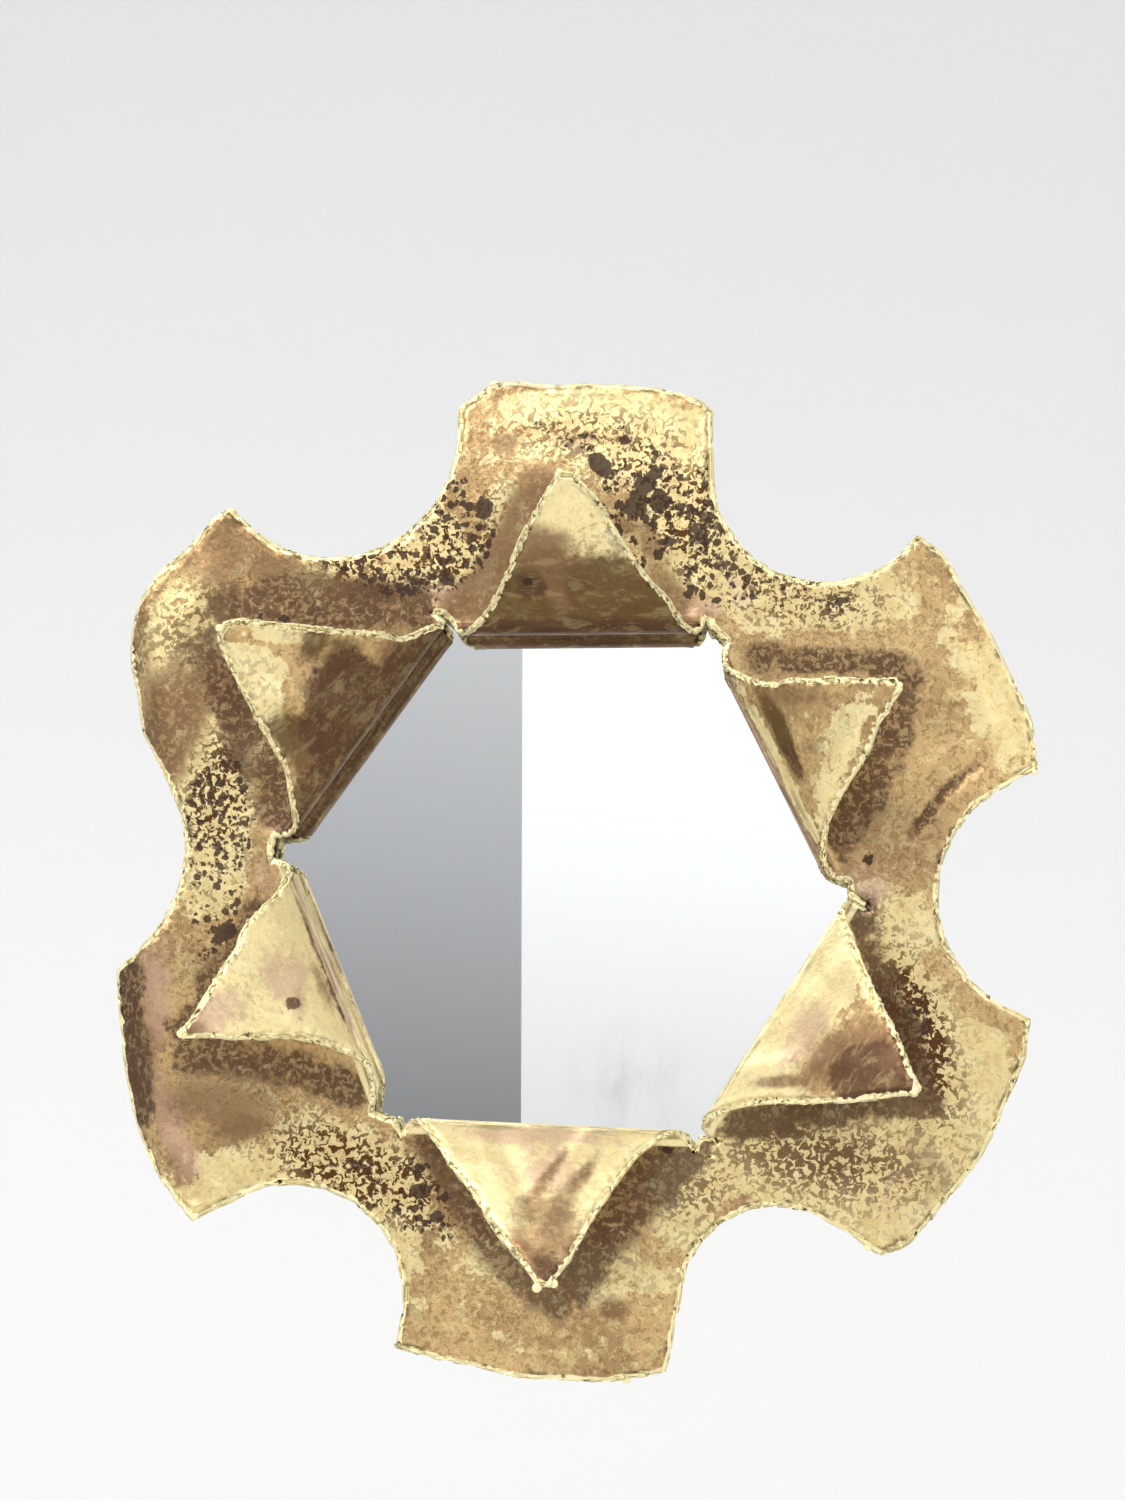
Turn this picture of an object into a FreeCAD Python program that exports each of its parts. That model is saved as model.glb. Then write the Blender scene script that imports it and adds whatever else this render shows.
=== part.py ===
import FreeCAD, Part
import math
import os
import Sketcher

# Torch-cut brass wall mirror, in millimetres.
# The origin lies on the wall, behind the middle of the six-sided opening.
# +Z is up, +Y points into the wall, and the front faces -Y.
# An azimuth is measured in the wall's plane, from +X towards +Z.

SIDES = 6
SECTOR = 360 / SIDES
VECTOR = FreeCAD.Vector

# Names of the six lobes and their petals, by rising azimuth; the first lobe's middle is half
# a sector from +X.
SIDE_NAMES = ("upper_right", "top", "upper_left", "lower_left", "bottom", "lower_right")

# Lengths in millimetres and angles in degrees.
SHEET_SIZES = {
    "outer_radius": 161.5,
    "sheet_thickness": 1.6,
    "neck_width": 24.8,
    "scallop_radius": 37.7,
    "opening_apothem": 81.3,
    "slit_end_radius": 97.5,
    "fold_radius": 4.5,
    "petal_length": 68.0,
    "petal_curve_radius": 170.0,
    "petal_root_half_width": 42.0,
    "petal_tip_width": 1.6,
    "lobe_bend_distance": 126.0,
    "lobe_bend_radius": 60.0,
    "crease_radius": 5.0,
    "crease_distance": 127.5,
    "lower_left_margin": 19.0,
    "upper_left_margin": 10.0,
    "lobe_half_width": 43.0,
}

BACK_SIZES = {
    "glass_radius": 101.6,
    "glass_thickness": 3.0,
    "glass_seam": 0.5,
    "glazing_thickness": 6.0,
    "glazing_width": 3.3,
    "pad_thickness": 1.5,
    "board_thickness": 3.0,
    "band_thickness": 1.6,
    "edge_clearance": 0.6,
    "tab_thickness": 1.0,
    "tab_width": 10.0,
    "tab_leg": 6.4,
    "tab_finger": 13.0,
    "tab_bend_radius": 1.0,
    "tab_gap": 0.05,
    "bumper_height": 6.0,
    "bumper_base_radius": 7.0,
    "bumper_face_radius": 5.0,
    "bumper_inset": 19.6,
}

HANGER_SIZES = {
    "strap_thickness": 0.9,
    "strap_width": 13.0,
    "strap_length": 29.0,
    "ring_gauge": 1.9,
    "bar_clearance": 0.05,
    "ring_half_width": 12.0,
    "ring_corner_radius": 3.5,
    "ring_side": 3.0,
    "ring_lean": 2.0,
    "hanger_inset": 31.6,
    "rivet_radius": 1.6,
    "rivet_clearance": 0.1,
    "rivet_head_radius": 3.0,
    "rivet_head_height": 1.1,
    "rivet_first": 10.5,
    "rivet_pitch": 13.0,
}

# Each hand-cut scallop: azimuth, share of the pitch circle's radius, share of the scallop radius.
SCALLOPS = (
    (0.9, 1.005, 1.056),
    (60.6, 0.971, 0.963),
    (121.3, 1.015, 1.080),
    (180.8, 1.034, 1.133),
    (241.4, 1.009, 0.966),
    (300.5, 0.958, 0.798),
)

# Each lobe: share of the outer radius, share of the bend's distance, bend angle,
# and how far the bend's azimuth is turned from the lobe's own.
LOBE_SHARES = {
    "top": (1.000, 1.00, 7.0, 0.0),
    "upper_right": (1.000, 0.99, 10.0, 0.0),
    "lower_right": (0.990, 1.01, 7.0, 0.0),
    "bottom": (1.004, 1.02, 5.0, 0.0),
    "lower_left": (0.999, 1.059, 38.0, -20.0),
    "upper_left": (1.008, 0.943, 40.0, 42.5),
}

# Each lobe's corners: shares of its half width on the side of the greater azimuth and on the other.
CORNER_SHARES = {
    "top": (1.016, 0.930),
    "upper_right": (1.102, 0.893),
    "lower_right": (1.014, 1.056),
    "bottom": (1.080, 0.998),
    "lower_left": (1.112, 0.960),
    "upper_left": (0.930, 0.921),
}

# The two lobes whose outer corner is creased back sharply.
CREASED = {"lower_left": "lower_left_margin", "upper_left": "upper_left_margin"}

# Each petal: share of the apothem, how far its fold line is turned, turn of the fold, share of
# the petal's length, shares of the root's half width at its two ends, and drift of its tip.
# The first end is the one with the greater azimuth, and a tip drifts towards it.
PETAL_SHARES = {
    "top": (0.953, 3.8, 130.0, 0.956, 0.74, 1.07, -0.124),
    "upper_right": (0.947, 0.0, 130.0, 0.969, 0.83, 0.94, -0.021),
    "lower_right": (1.015, 0.9, 127.0, 1.166, 1.00, 0.98, 0.016),
    "bottom": (1.006, 1.1, 130.0, 1.078, 1.07, 1.02, 0.124),
    "lower_left": (0.990, -4.2, 130.0, 1.000, 1.10, 0.83, 0.188),
    "upper_left": (0.960, -2.1, 130.0, 1.028, 0.89, 1.01, 0.055),
}

TAB_AZIMUTHS = (0, 60, 120, 180, 240, 300)
BUMPER_AZIMUTHS = (40, 140, 220, 320)

doc = FreeCAD.newDocument("brass_mirror")
sheet = doc.addObject("Spreadsheet::Sheet", "Sizes")


def fill_sheet():
    """Write every driving size into a cell of its own, under its name."""
    rows = {}
    rows.update(SHEET_SIZES)
    rows.update(BACK_SIZES)
    rows.update(HANGER_SIZES)
    for number, (azimuth, pitch, radius) in enumerate(SCALLOPS, 1):
        rows[f"scallop_{number}_azimuth"] = azimuth
        rows[f"scallop_{number}_pitch_share"] = pitch
        rows[f"scallop_{number}_radius_share"] = radius
    for side, (radius, distance, bend, skew) in LOBE_SHARES.items():
        rows[f"{side}_lobe_radius_share"] = radius
        rows[f"{side}_bend_distance_share"] = distance
        rows[f"{side}_bend_angle"] = bend
        rows[f"{side}_bend_skew"] = skew
    for side, (first, second) in CORNER_SHARES.items():
        rows[f"{side}_corner_first_share"] = first
        rows[f"{side}_corner_second_share"] = second
    for side, shares in PETAL_SHARES.items():
        apothem, skew, turn, length, first, second, drift = shares
        rows[f"{side}_apothem_share"] = apothem
        rows[f"{side}_fold_skew"] = skew
        rows[f"{side}_fold_turn"] = turn
        rows[f"{side}_petal_length_share"] = length
        rows[f"{side}_root_first_share"] = first
        rows[f"{side}_root_second_share"] = second
        rows[f"{side}_tip_drift_share"] = drift
    for number, (alias, value) in enumerate(rows.items(), 1):
        sheet.set(f"A{number}", alias)
        sheet.set(f"B{number}", str(value))
        sheet.setAlias(f"B{number}", alias)
    doc.recompute()


def size(alias):
    """The number that a named cell holds, for first positions and for checks."""
    return float(getattr(sheet, alias))


def bind(item, **expressions):
    """Bind properties of an object to expressions in which S is the sheet."""
    for path, expression in expressions.items():
        item.setExpression(path.replace("__", "."), expression.replace("S.", "Sizes."))


def turn_about_y(angle):
    """Rotation that carries +X to the given azimuth."""
    return FreeCAD.Rotation(VECTOR(0, 1, 0), -angle)


def plane_of(body, role):
    for feature in body.Origin.OriginFeatures:
        if feature.Role == role:
            return feature
    raise RuntimeError(f"{body.Name} has no {role}")


def new_body(name):
    return doc.addObject("PartDesign::Body", name)


def new_sketch(body, name, role):
    sketch = body.newObject("Sketcher::SketchObject", name)
    sketch.AttachmentSupport = [(plane_of(body, role), "")]
    sketch.MapMode = "FlatFace"
    return sketch


def named(sketch, constraint, expression):
    """Add one dimension to a sketch and bind it to the sheet."""
    number = sketch.addConstraint(constraint)
    sketch.setExpression(f"Constraints[{number}]", expression.replace("S.", "Sizes."))
    return number


def line(sketch, start, end):
    return sketch.addGeometry(Part.LineSegment(VECTOR(*start, 0), VECTOR(*end, 0)), False)


def arc(sketch, centre, radius, start, end):
    circle = Part.Circle(VECTOR(*centre, 0), VECTOR(0, 0, 1), radius)
    curve = Part.ArcOfCircle(circle, math.radians(start), math.radians(end))
    return sketch.addGeometry(curve, False)


def rule(sketch, kind, *where):
    sketch.addConstraint(Sketcher.Constraint(kind, *where))


def polar(centre, radius, angle):
    """Point at an angle in degrees on a circle."""
    radians = math.radians(angle)
    return centre[0] + radius * math.cos(radians), centre[1] + radius * math.sin(radians)


def symmetric_pad(body, sketch, length):
    pad = body.newObject("PartDesign::Pad", f"{body.Name}_pad")
    pad.Profile = sketch
    pad.SideType = "Symmetric"
    bind(pad, Length=length)
    return pad


def one_way_pad(body, sketch, length):
    """Pad that grows from a sketch on the body's XZ plane towards -Y."""
    pad = body.newObject("PartDesign::Pad", f"{body.Name}_pad")
    pad.Profile = sketch
    bind(pad, Length=length)
    return pad


def boolean(kind, name, base, tool):
    item = doc.addObject(f"Part::{kind}", name)
    item.Base = base
    item.Tool = tool
    return item


def joined(name, shapes, refine=True):
    item = doc.addObject("Part::MultiFuse", name)
    item.Shapes = shapes
    item.Refine = refine
    return item


# The brass sheet: lobes

# The scallops' centres: each leaves a neck of sheet between itself and the slits' ends.
SCALLOP_PITCH = "(S.slit_end_radius + S.neck_width + S.scallop_radius)"


def bent_strip(side):
    """Sheet that lies flat and then bends back along one straight line."""
    radius = "S.crease_radius" if side in CREASED else "S.lobe_bend_radius"
    distance = "S.crease_distance" if side in CREASED else "S.lobe_bend_distance"
    flange = f"S.{CREASED[side]}" if side in CREASED else "S.outer_radius"
    bend = size(f"{side}_bend_angle")
    half = size("sheet_thickness") / 2
    bend_r = size(radius[2:])
    x_bend = size(distance[2:]) * size(f"{side}_bend_distance_share")
    x_start = -size("outer_radius")
    length = size(flange[2:])
    centre = (x_bend, bend_r)
    body = new_body(f"{side}_strip")
    sketch = new_sketch(body, f"{side}_strip_section", "XY_Plane")
    front_end = polar(centre, bend_r + half, bend - 90)
    back_end = polar(centre, bend_r - half, bend - 90)
    front_tip = polar(front_end, length, bend)
    back_tip = polar(back_end, length, bend)
    front = line(sketch, (x_start, -half), (x_bend, -half))
    front_arc = arc(sketch, centre, bend_r + half, -90, bend - 90)
    front_flange = line(sketch, front_end, front_tip)
    rim = line(sketch, front_tip, back_tip)
    back_flange = line(sketch, back_tip, back_end)
    back_arc = arc(sketch, centre, bend_r - half, -90, bend - 90)
    back = line(sketch, (x_bend, half), (x_start, half))
    close = line(sketch, (x_start, half), (x_start, -half))
    rule(sketch, "Tangent", front, 2, front_arc, 1)
    rule(sketch, "Tangent", front_arc, 2, front_flange, 1)
    rule(sketch, "Coincident", front_flange, 2, rim, 1)
    rule(sketch, "Coincident", rim, 2, back_flange, 1)
    rule(sketch, "Tangent", back_flange, 2, back_arc, 2)
    rule(sketch, "Tangent", back_arc, 1, back, 1)
    rule(sketch, "Coincident", back, 2, close, 1)
    rule(sketch, "Coincident", close, 2, front, 1)
    rule(sketch, "Coincident", front_arc, 3, back_arc, 3)
    rule(sketch, "Horizontal", front)
    rule(sketch, "Horizontal", back)
    rule(sketch, "Vertical", close)
    rule(sketch, "Parallel", front_flange, back_flange)
    rule(sketch, "Perpendicular", rim, front_flange)
    constraint = Sketcher.Constraint
    named(sketch, constraint("Radius", front_arc, bend_r + half), f"{radius} + S.sheet_thickness / 2")
    named(sketch, constraint("Radius", back_arc, bend_r - half), f"{radius} - S.sheet_thickness / 2")
    named(sketch, constraint("Angle", front_arc, math.radians(bend)), f"S.{side}_bend_angle")
    named(sketch, constraint("Distance", front_flange, length), flange)
    named(sketch, constraint("DistanceX", -1, 1, front_arc, 3, x_bend),
          f"{distance} * S.{side}_bend_distance_share")
    named(sketch, constraint("DistanceY", -1, 1, front_arc, 3, bend_r), radius)
    named(sketch, constraint("DistanceX", front, 1, -1, 1, -x_start), "S.outer_radius")
    symmetric_pad(body, sketch, "4 * S.outer_radius")
    body.Placement.Rotation = turn_about_y(size(f"{side}_bend_skew"))
    bind(body, Placement__Rotation__Angle=f"-S.{side}_bend_skew")
    return body


def sector(side):
    """Sixth of a disc, as wide as the lobe's own outer edge."""
    item = doc.addObject("Part::Cylinder", f"{side}_sector")
    item.Angle = SECTOR
    upright = FreeCAD.Rotation(VECTOR(1, 0, 0), 90)
    item.Placement.Rotation = turn_about_y(-SECTOR / 2).multiply(upright)
    bind(item, Radius=f"S.outer_radius * S.{side}_lobe_radius_share",
         Height="2 * S.outer_radius", Placement__Base__y="S.outer_radius")
    return item


def corner_block(side, end):
    """What keeps the lobe's side straight, outward of the scallop's narrowest place."""
    item = doc.addObject("Part::Box", f"{side}_{end}_corner_block")
    width = f"S.lobe_half_width * S.{side}_corner_{end}_share"
    base = width if end == "first" else f"-2 * S.outer_radius - {width}"
    bind(item, Length="2 * S.outer_radius", Width="2 * S.outer_radius", Height="2 * S.outer_radius",
         Placement__Base__x=f"{SCALLOP_PITCH} * cos({SECTOR} / 2)",
         Placement__Base__y="-S.outer_radius", Placement__Base__z=base)
    return item


def opening_sixth(side):
    """What the opening takes out of one sixth: up to the fold line and the slits' ends."""
    disc = doc.addObject("Part::Cylinder", f"{side}_slit_disc")
    disc.Placement.Rotation = FreeCAD.Rotation(VECTOR(1, 0, 0), 90)
    bind(disc, Radius="S.slit_end_radius", Height="2 * S.outer_radius",
         Placement__Base__y="S.outer_radius")
    block = doc.addObject("Part::Box", f"{side}_fold_block")
    block.Placement.Rotation = turn_about_y(size(f"{side}_fold_skew"))
    reach = f"(S.opening_apothem * S.{side}_apothem_share + S.fold_radius)"
    bind(block, Length="2 * S.outer_radius", Width="2 * S.outer_radius",
         Height="4 * S.outer_radius")
    bind(block, Placement__Rotation__Angle=f"-S.{side}_fold_skew")
    shift = f"({reach} - 2 * S.outer_radius)"
    half = "2 * S.outer_radius"
    skew = f"S.{side}_fold_skew"
    bind(block, Placement__Base__x=f"{shift} * cos({skew}) + {half} * sin({skew})",
         Placement__Base__y="-S.outer_radius",
         Placement__Base__z=f"{shift} * sin({skew}) - {half} * cos({skew})")
    return boolean("Common", f"{side}_opening", disc, block)


# The brass sheet: petals


def blade_turn(side):
    """Expression for the turn of the petal's blade, in degrees, after its rolled fold."""
    length = f"S.petal_length * S.{side}_petal_length_share"
    rolled = f"S.fold_radius * S.{side}_fold_turn * pi / 180"
    return f"(({length} - {rolled}) / S.petal_curve_radius * 180 / pi)"


def blade_turn_value(side):
    length = size("petal_length") * size(f"{side}_petal_length_share")
    rolled = size("fold_radius") * math.radians(size(f"{side}_fold_turn"))
    return math.degrees((length - rolled) / size("petal_curve_radius"))


def rolled_strip(side):
    """Strip that leaves the sheet in a rolled fold and runs on as a gently curved blade."""
    half = size("sheet_thickness") / 2
    fold = size("fold_radius")
    curve = size("petal_curve_radius")
    turn = size(f"{side}_fold_turn")
    blade = blade_turn_value(side)
    x_fold = size("opening_apothem") * size(f"{side}_apothem_share") + fold
    centre = (x_fold, -fold)
    far = polar(centre, curve - fold, turn - 90)
    body = new_body(f"{side}_roll")
    sketch = new_sketch(body, f"{side}_roll_section", "XY_Plane")
    outer = arc(sketch, centre, fold + half, 90, 90 + turn)
    outer_blade = arc(sketch, far, curve + half, 90 + turn, 90 + turn + blade)
    outer_tip = polar(far, curve + half, 90 + turn + blade)
    inner_tip = polar(far, curve - half, 90 + turn + blade)
    tip = line(sketch, outer_tip, inner_tip)
    inner_blade = arc(sketch, far, curve - half, 90 + turn, 90 + turn + blade)
    inner = arc(sketch, centre, fold - half, 90, 90 + turn)
    start = line(sketch, (x_fold, -half), (x_fold, half))
    rule(sketch, "Tangent", outer, 2, outer_blade, 1)
    rule(sketch, "Coincident", outer_blade, 2, tip, 1)
    rule(sketch, "Coincident", tip, 2, inner_blade, 2)
    rule(sketch, "Tangent", inner_blade, 1, inner, 2)
    rule(sketch, "Coincident", inner, 1, start, 1)
    rule(sketch, "Coincident", start, 2, outer, 1)
    rule(sketch, "Coincident", outer, 3, inner, 3)
    rule(sketch, "Coincident", outer_blade, 3, inner_blade, 3)
    rule(sketch, "Vertical", start)
    rule(sketch, "PointOnObject", outer, 3, start)
    rule(sketch, "PointOnObject", outer_blade, 3, tip)
    constraint = Sketcher.Constraint
    named(sketch, constraint("Radius", outer, fold + half), "S.fold_radius + S.sheet_thickness / 2")
    named(sketch, constraint("Radius", inner, fold - half), "S.fold_radius - S.sheet_thickness / 2")
    named(sketch, constraint("Radius", outer_blade, curve + half),
          "S.petal_curve_radius + S.sheet_thickness / 2")
    named(sketch, constraint("DistanceX", -1, 1, outer, 3, x_fold),
          f"S.opening_apothem * S.{side}_apothem_share + S.fold_radius")
    named(sketch, constraint("DistanceY", outer, 3, -1, 1, fold), "S.fold_radius")
    named(sketch, constraint("Angle", outer, math.radians(turn)), f"S.{side}_fold_turn")
    named(sketch, constraint("Angle", outer_blade, math.radians(blade)), blade_turn(side))
    symmetric_pad(body, sketch, "4 * S.petal_root_half_width")
    return body


def petal_outline(side):
    """Tapered prism, square to the blade's chord, that leaves a petal of the strip."""
    turn = f"S.{side}_fold_turn"
    blade = blade_turn(side)
    chord = f"(2 * S.petal_curve_radius * sin({blade} / 2))"
    reach = "(3 * S.fold_radius + S.sheet_thickness)"
    overrun = "S.petal_tip_width"
    first = f"(S.petal_root_half_width * S.{side}_root_first_share)"
    second = f"(S.petal_root_half_width * S.{side}_root_second_share)"
    drift = f"(S.petal_root_half_width * S.{side}_tip_drift_share)"
    half_tip = "S.petal_tip_width / 2"
    curve = size("petal_curve_radius")
    chord_value = 2 * curve * math.sin(math.radians(blade_turn_value(side)) / 2)
    reach_value = 3 * size("fold_radius") + size("sheet_thickness")
    tip_x = chord_value + size("petal_tip_width")
    root = size("petal_root_half_width")
    first_value = root * size(f"{side}_root_first_share")
    second_value = root * size(f"{side}_root_second_share")
    drift_value = root * size(f"{side}_tip_drift_share")
    half = size("petal_tip_width") / 2
    points = ((-reach_value, first_value), (0, first_value), (tip_x, drift_value + half),
              (tip_x, drift_value - half), (0, -second_value), (-reach_value, -second_value))
    body = new_body(f"{side}_outline")
    sketch = new_sketch(body, f"{side}_outline_shape", "XZ_Plane")
    edges = [line(sketch, point, points[(number + 1) % len(points)])
             for number, point in enumerate(points)]
    for number, edge in enumerate(edges):
        rule(sketch, "Coincident", edge, 2, edges[(number + 1) % len(edges)], 1)
    rule(sketch, "Horizontal", edges[0])
    rule(sketch, "Horizontal", edges[4])
    rule(sketch, "Vertical", edges[2])
    rule(sketch, "Vertical", edges[5])
    constraint = Sketcher.Constraint
    named(sketch, constraint("DistanceX", edges[0], 1, -1, 1, reach_value), reach)
    named(sketch, constraint("DistanceY", -1, 1, edges[0], 1, first_value), first)
    named(sketch, constraint("DistanceX", -1, 1, edges[2], 1, tip_x), f"{chord} + {overrun}")
    named(sketch, constraint("DistanceY", edges[4], 1, -1, 1, second_value), second)
    named(sketch, constraint("DistanceY", edges[2], 2, edges[2], 1, 2 * half), f"2 * {half_tip}")
    named(sketch, constraint("DistanceY", -1, 1, edges[2], 2, drift_value - half),
          f"{drift} - {half_tip}")
    rule(sketch, "PointOnObject", edges[0], 2, -2)
    rule(sketch, "PointOnObject", edges[4], 1, -2)
    symmetric_pad(body, sketch, "4 * S.petal_root_half_width")
    slope = f"(180 - {turn} - {blade} / 2)"
    slope_value = 180 - size(f"{side}_fold_turn") - blade_turn_value(side) / 2
    body.Placement.Rotation = FreeCAD.Rotation(VECTOR(0, 0, 1), -slope_value)
    x_fold = f"(S.opening_apothem * S.{side}_apothem_share + S.fold_radius)"
    bind(body, Placement__Rotation__Angle=f"-{slope}",
         Placement__Base__x=f"{x_fold} - S.fold_radius * sin({turn})",
         Placement__Base__y=f"S.fold_radius * cos({turn}) - S.fold_radius")
    return body


def sheet_sixth(side, azimuth):
    """One lobe with its petal, turned to its place round the opening."""
    flat = boolean("Common", f"{side}_flat", bent_strip(side), sector(side))
    cuts = [opening_sixth(side), corner_block(side, "first"), corner_block(side, "second")]
    lobe = boolean("Cut", f"{side}_lobe", flat, joined(f"{side}_cuts", cuts, False))
    petal = boolean("Common", f"{side}_petal", rolled_strip(side), petal_outline(side))
    petal.Placement.Rotation = turn_about_y(size(f"{side}_fold_skew"))
    bind(petal, Placement__Rotation__Angle=f"-S.{side}_fold_skew")
    sixth = joined(f"{side}_sixth", [lobe, petal])
    sixth.Placement.Rotation = turn_about_y(azimuth)
    return sixth


def scallop(number):
    """Round bite out of the sheet's edge, between two lobes."""
    item = doc.addObject("Part::Cylinder", f"scallop_{number}")
    item.Placement.Rotation = FreeCAD.Rotation(VECTOR(1, 0, 0), 90)
    pitch = f"{SCALLOP_PITCH} * S.scallop_{number}_pitch_share"
    azimuth = f"S.scallop_{number}_azimuth"
    bind(item, Radius=f"S.scallop_radius * S.scallop_{number}_radius_share",
         Height="2 * S.outer_radius", Placement__Base__y="S.outer_radius",
         Placement__Base__x=f"{pitch} * cos({azimuth})",
         Placement__Base__z=f"{pitch} * sin({azimuth})")
    return item


# Depths behind the sheet, measured from the wall towards the front.

BOARD_BACK = "S.bumper_height"
PAD_BACK = f"({BOARD_BACK} + S.board_thickness)"
GLASS_BACK = f"({PAD_BACK} + S.pad_thickness)"
GLASS_FRONT = f"({GLASS_BACK} + S.glass_thickness)"
SHEET_BACK = f"({GLASS_FRONT} + S.glazing_thickness)"
SHEET_MIDDLE = f"({SHEET_BACK} + S.sheet_thickness / 2)"


def frame_plate():
    sixths = [sheet_sixth(side, SECTOR * (number + 1 / 2)) for number, side in enumerate(SIDE_NAMES)]
    blank = joined("formed_blank", sixths)
    bites = joined("scallops", [scallop(number) for number in range(1, SIDES + 1)], False)
    plate = boolean("Cut", "frame_plate", blank, bites)
    bind(plate, Placement__Base__y=f"-{SHEET_MIDDLE}")
    return plate


# Glass, pad, backing and the band round them


def disc_body(name, radius, thickness, back):
    """Flat disc on the wall's plane, moved to its depth."""
    body = new_body(name)
    sketch = new_sketch(body, f"{name}_circle", "XZ_Plane")
    value = size("glass_radius")
    edge = sketch.addGeometry(Part.Circle(VECTOR(), VECTOR(0, 0, 1), value), False)
    rule(sketch, "Coincident", edge, 3, -1, 1)
    named(sketch, Sketcher.Constraint("Radius", edge, value), radius)
    one_way_pad(body, sketch, thickness)
    bind(body, Placement__Base__y=f"-{back}")
    return body


def round_holes(body, heights, radius, thickness):
    """Through holes on the disc's upright centre line."""
    sketch = new_sketch(body, f"{body.Name}_holes", "XZ_Plane")
    value = size("rivet_radius")
    near = size("glass_radius") - size("hanger_inset")
    for height in heights:
        circle = Part.Circle(VECTOR(0, near, 0), VECTOR(0, 0, 1), value)
        hole = sketch.addGeometry(circle, False)
        rule(sketch, "PointOnObject", hole, 3, -2)
        named(sketch, Sketcher.Constraint("DistanceY", -1, 1, hole, 3, near), height)
        named(sketch, Sketcher.Constraint("Radius", hole, value), radius)
    pocket = body.newObject("PartDesign::Pocket", f"{body.Name}_pocket")
    pocket.Profile = sketch
    pocket.SideType = "Symmetric"
    bind(pocket, Length=f"4 * {thickness}")
    return pocket


HANGER_HEIGHT = "(S.glass_radius - S.hanger_inset)"
RIVET_HEIGHTS = (
    f"({HANGER_HEIGHT} - S.rivet_first)",
    f"({HANGER_HEIGHT} - S.rivet_first - S.rivet_pitch)",
)


def mirror_glass():
    body = disc_body("mirror_glass", "S.glass_radius", "S.glass_thickness", GLASS_BACK)
    doc.recompute()
    seam = body.newObject("PartDesign::Chamfer", "glass_seam_cut")
    pad = body.getObject("mirror_glass_pad")
    rims = [f"Edge{number}" for number, edge in enumerate(pad.Shape.Edges, 1)
            if edge.Curve.TypeId == "Part::GeomCircle"]
    seam.Base = (pad, rims)
    bind(seam, Size="S.glass_seam")
    return body


def cushion_pad():
    body = disc_body("cushion_pad", "S.glass_radius", "S.pad_thickness", PAD_BACK)
    round_holes(body, RIVET_HEIGHTS, "S.rivet_head_radius + S.rivet_clearance", "S.pad_thickness")
    return body


def backing_disc():
    body = disc_body("backing_disc", "S.glass_radius", "S.board_thickness", BOARD_BACK)
    round_holes(body, RIVET_HEIGHTS, "S.rivet_radius + S.rivet_clearance", "S.board_thickness")
    return body


def ring_body(name, inner, outer, length, back):
    """Flat-ended ring; inner and outer are pairs of a first value and its expression."""
    body = new_body(name)
    sketch = new_sketch(body, f"{name}_circles", "XZ_Plane")
    for value, expression in (inner, outer):
        edge = sketch.addGeometry(Part.Circle(VECTOR(), VECTOR(0, 0, 1), value), False)
        rule(sketch, "Coincident", edge, 3, -1, 1)
        named(sketch, Sketcher.Constraint("Radius", edge, value), expression)
    one_way_pad(body, sketch, length)
    bind(body, Placement__Base__y=f"-{back}")
    return body


def glazing_ring():
    """Rubber ring that keeps the glass's rim off the rough back of the sheet."""
    inner = (size("glass_radius") - size("glazing_width"), "S.glass_radius - S.glazing_width")
    outer = (size("glass_radius"), "S.glass_radius")
    return ring_body("glazing_ring", inner, outer, "S.glazing_thickness", GLASS_FRONT)


def rim_band():
    """Strip rolled into a ring and brazed on edge to the back of the sheet."""
    inner_value = size("glass_radius") + size("edge_clearance")
    inner = "S.glass_radius + S.edge_clearance"
    outer = (inner_value + size("band_thickness"), f"{inner} + S.band_thickness")
    # The strip's back edge stops where the tabs' bends start.
    length = f"{SHEET_BACK} - {BOARD_BACK} - S.tab_bend_radius"
    return ring_body("rim_band", (inner_value, inner), outer, length,
                     f"({BOARD_BACK} + S.tab_bend_radius)")


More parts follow.
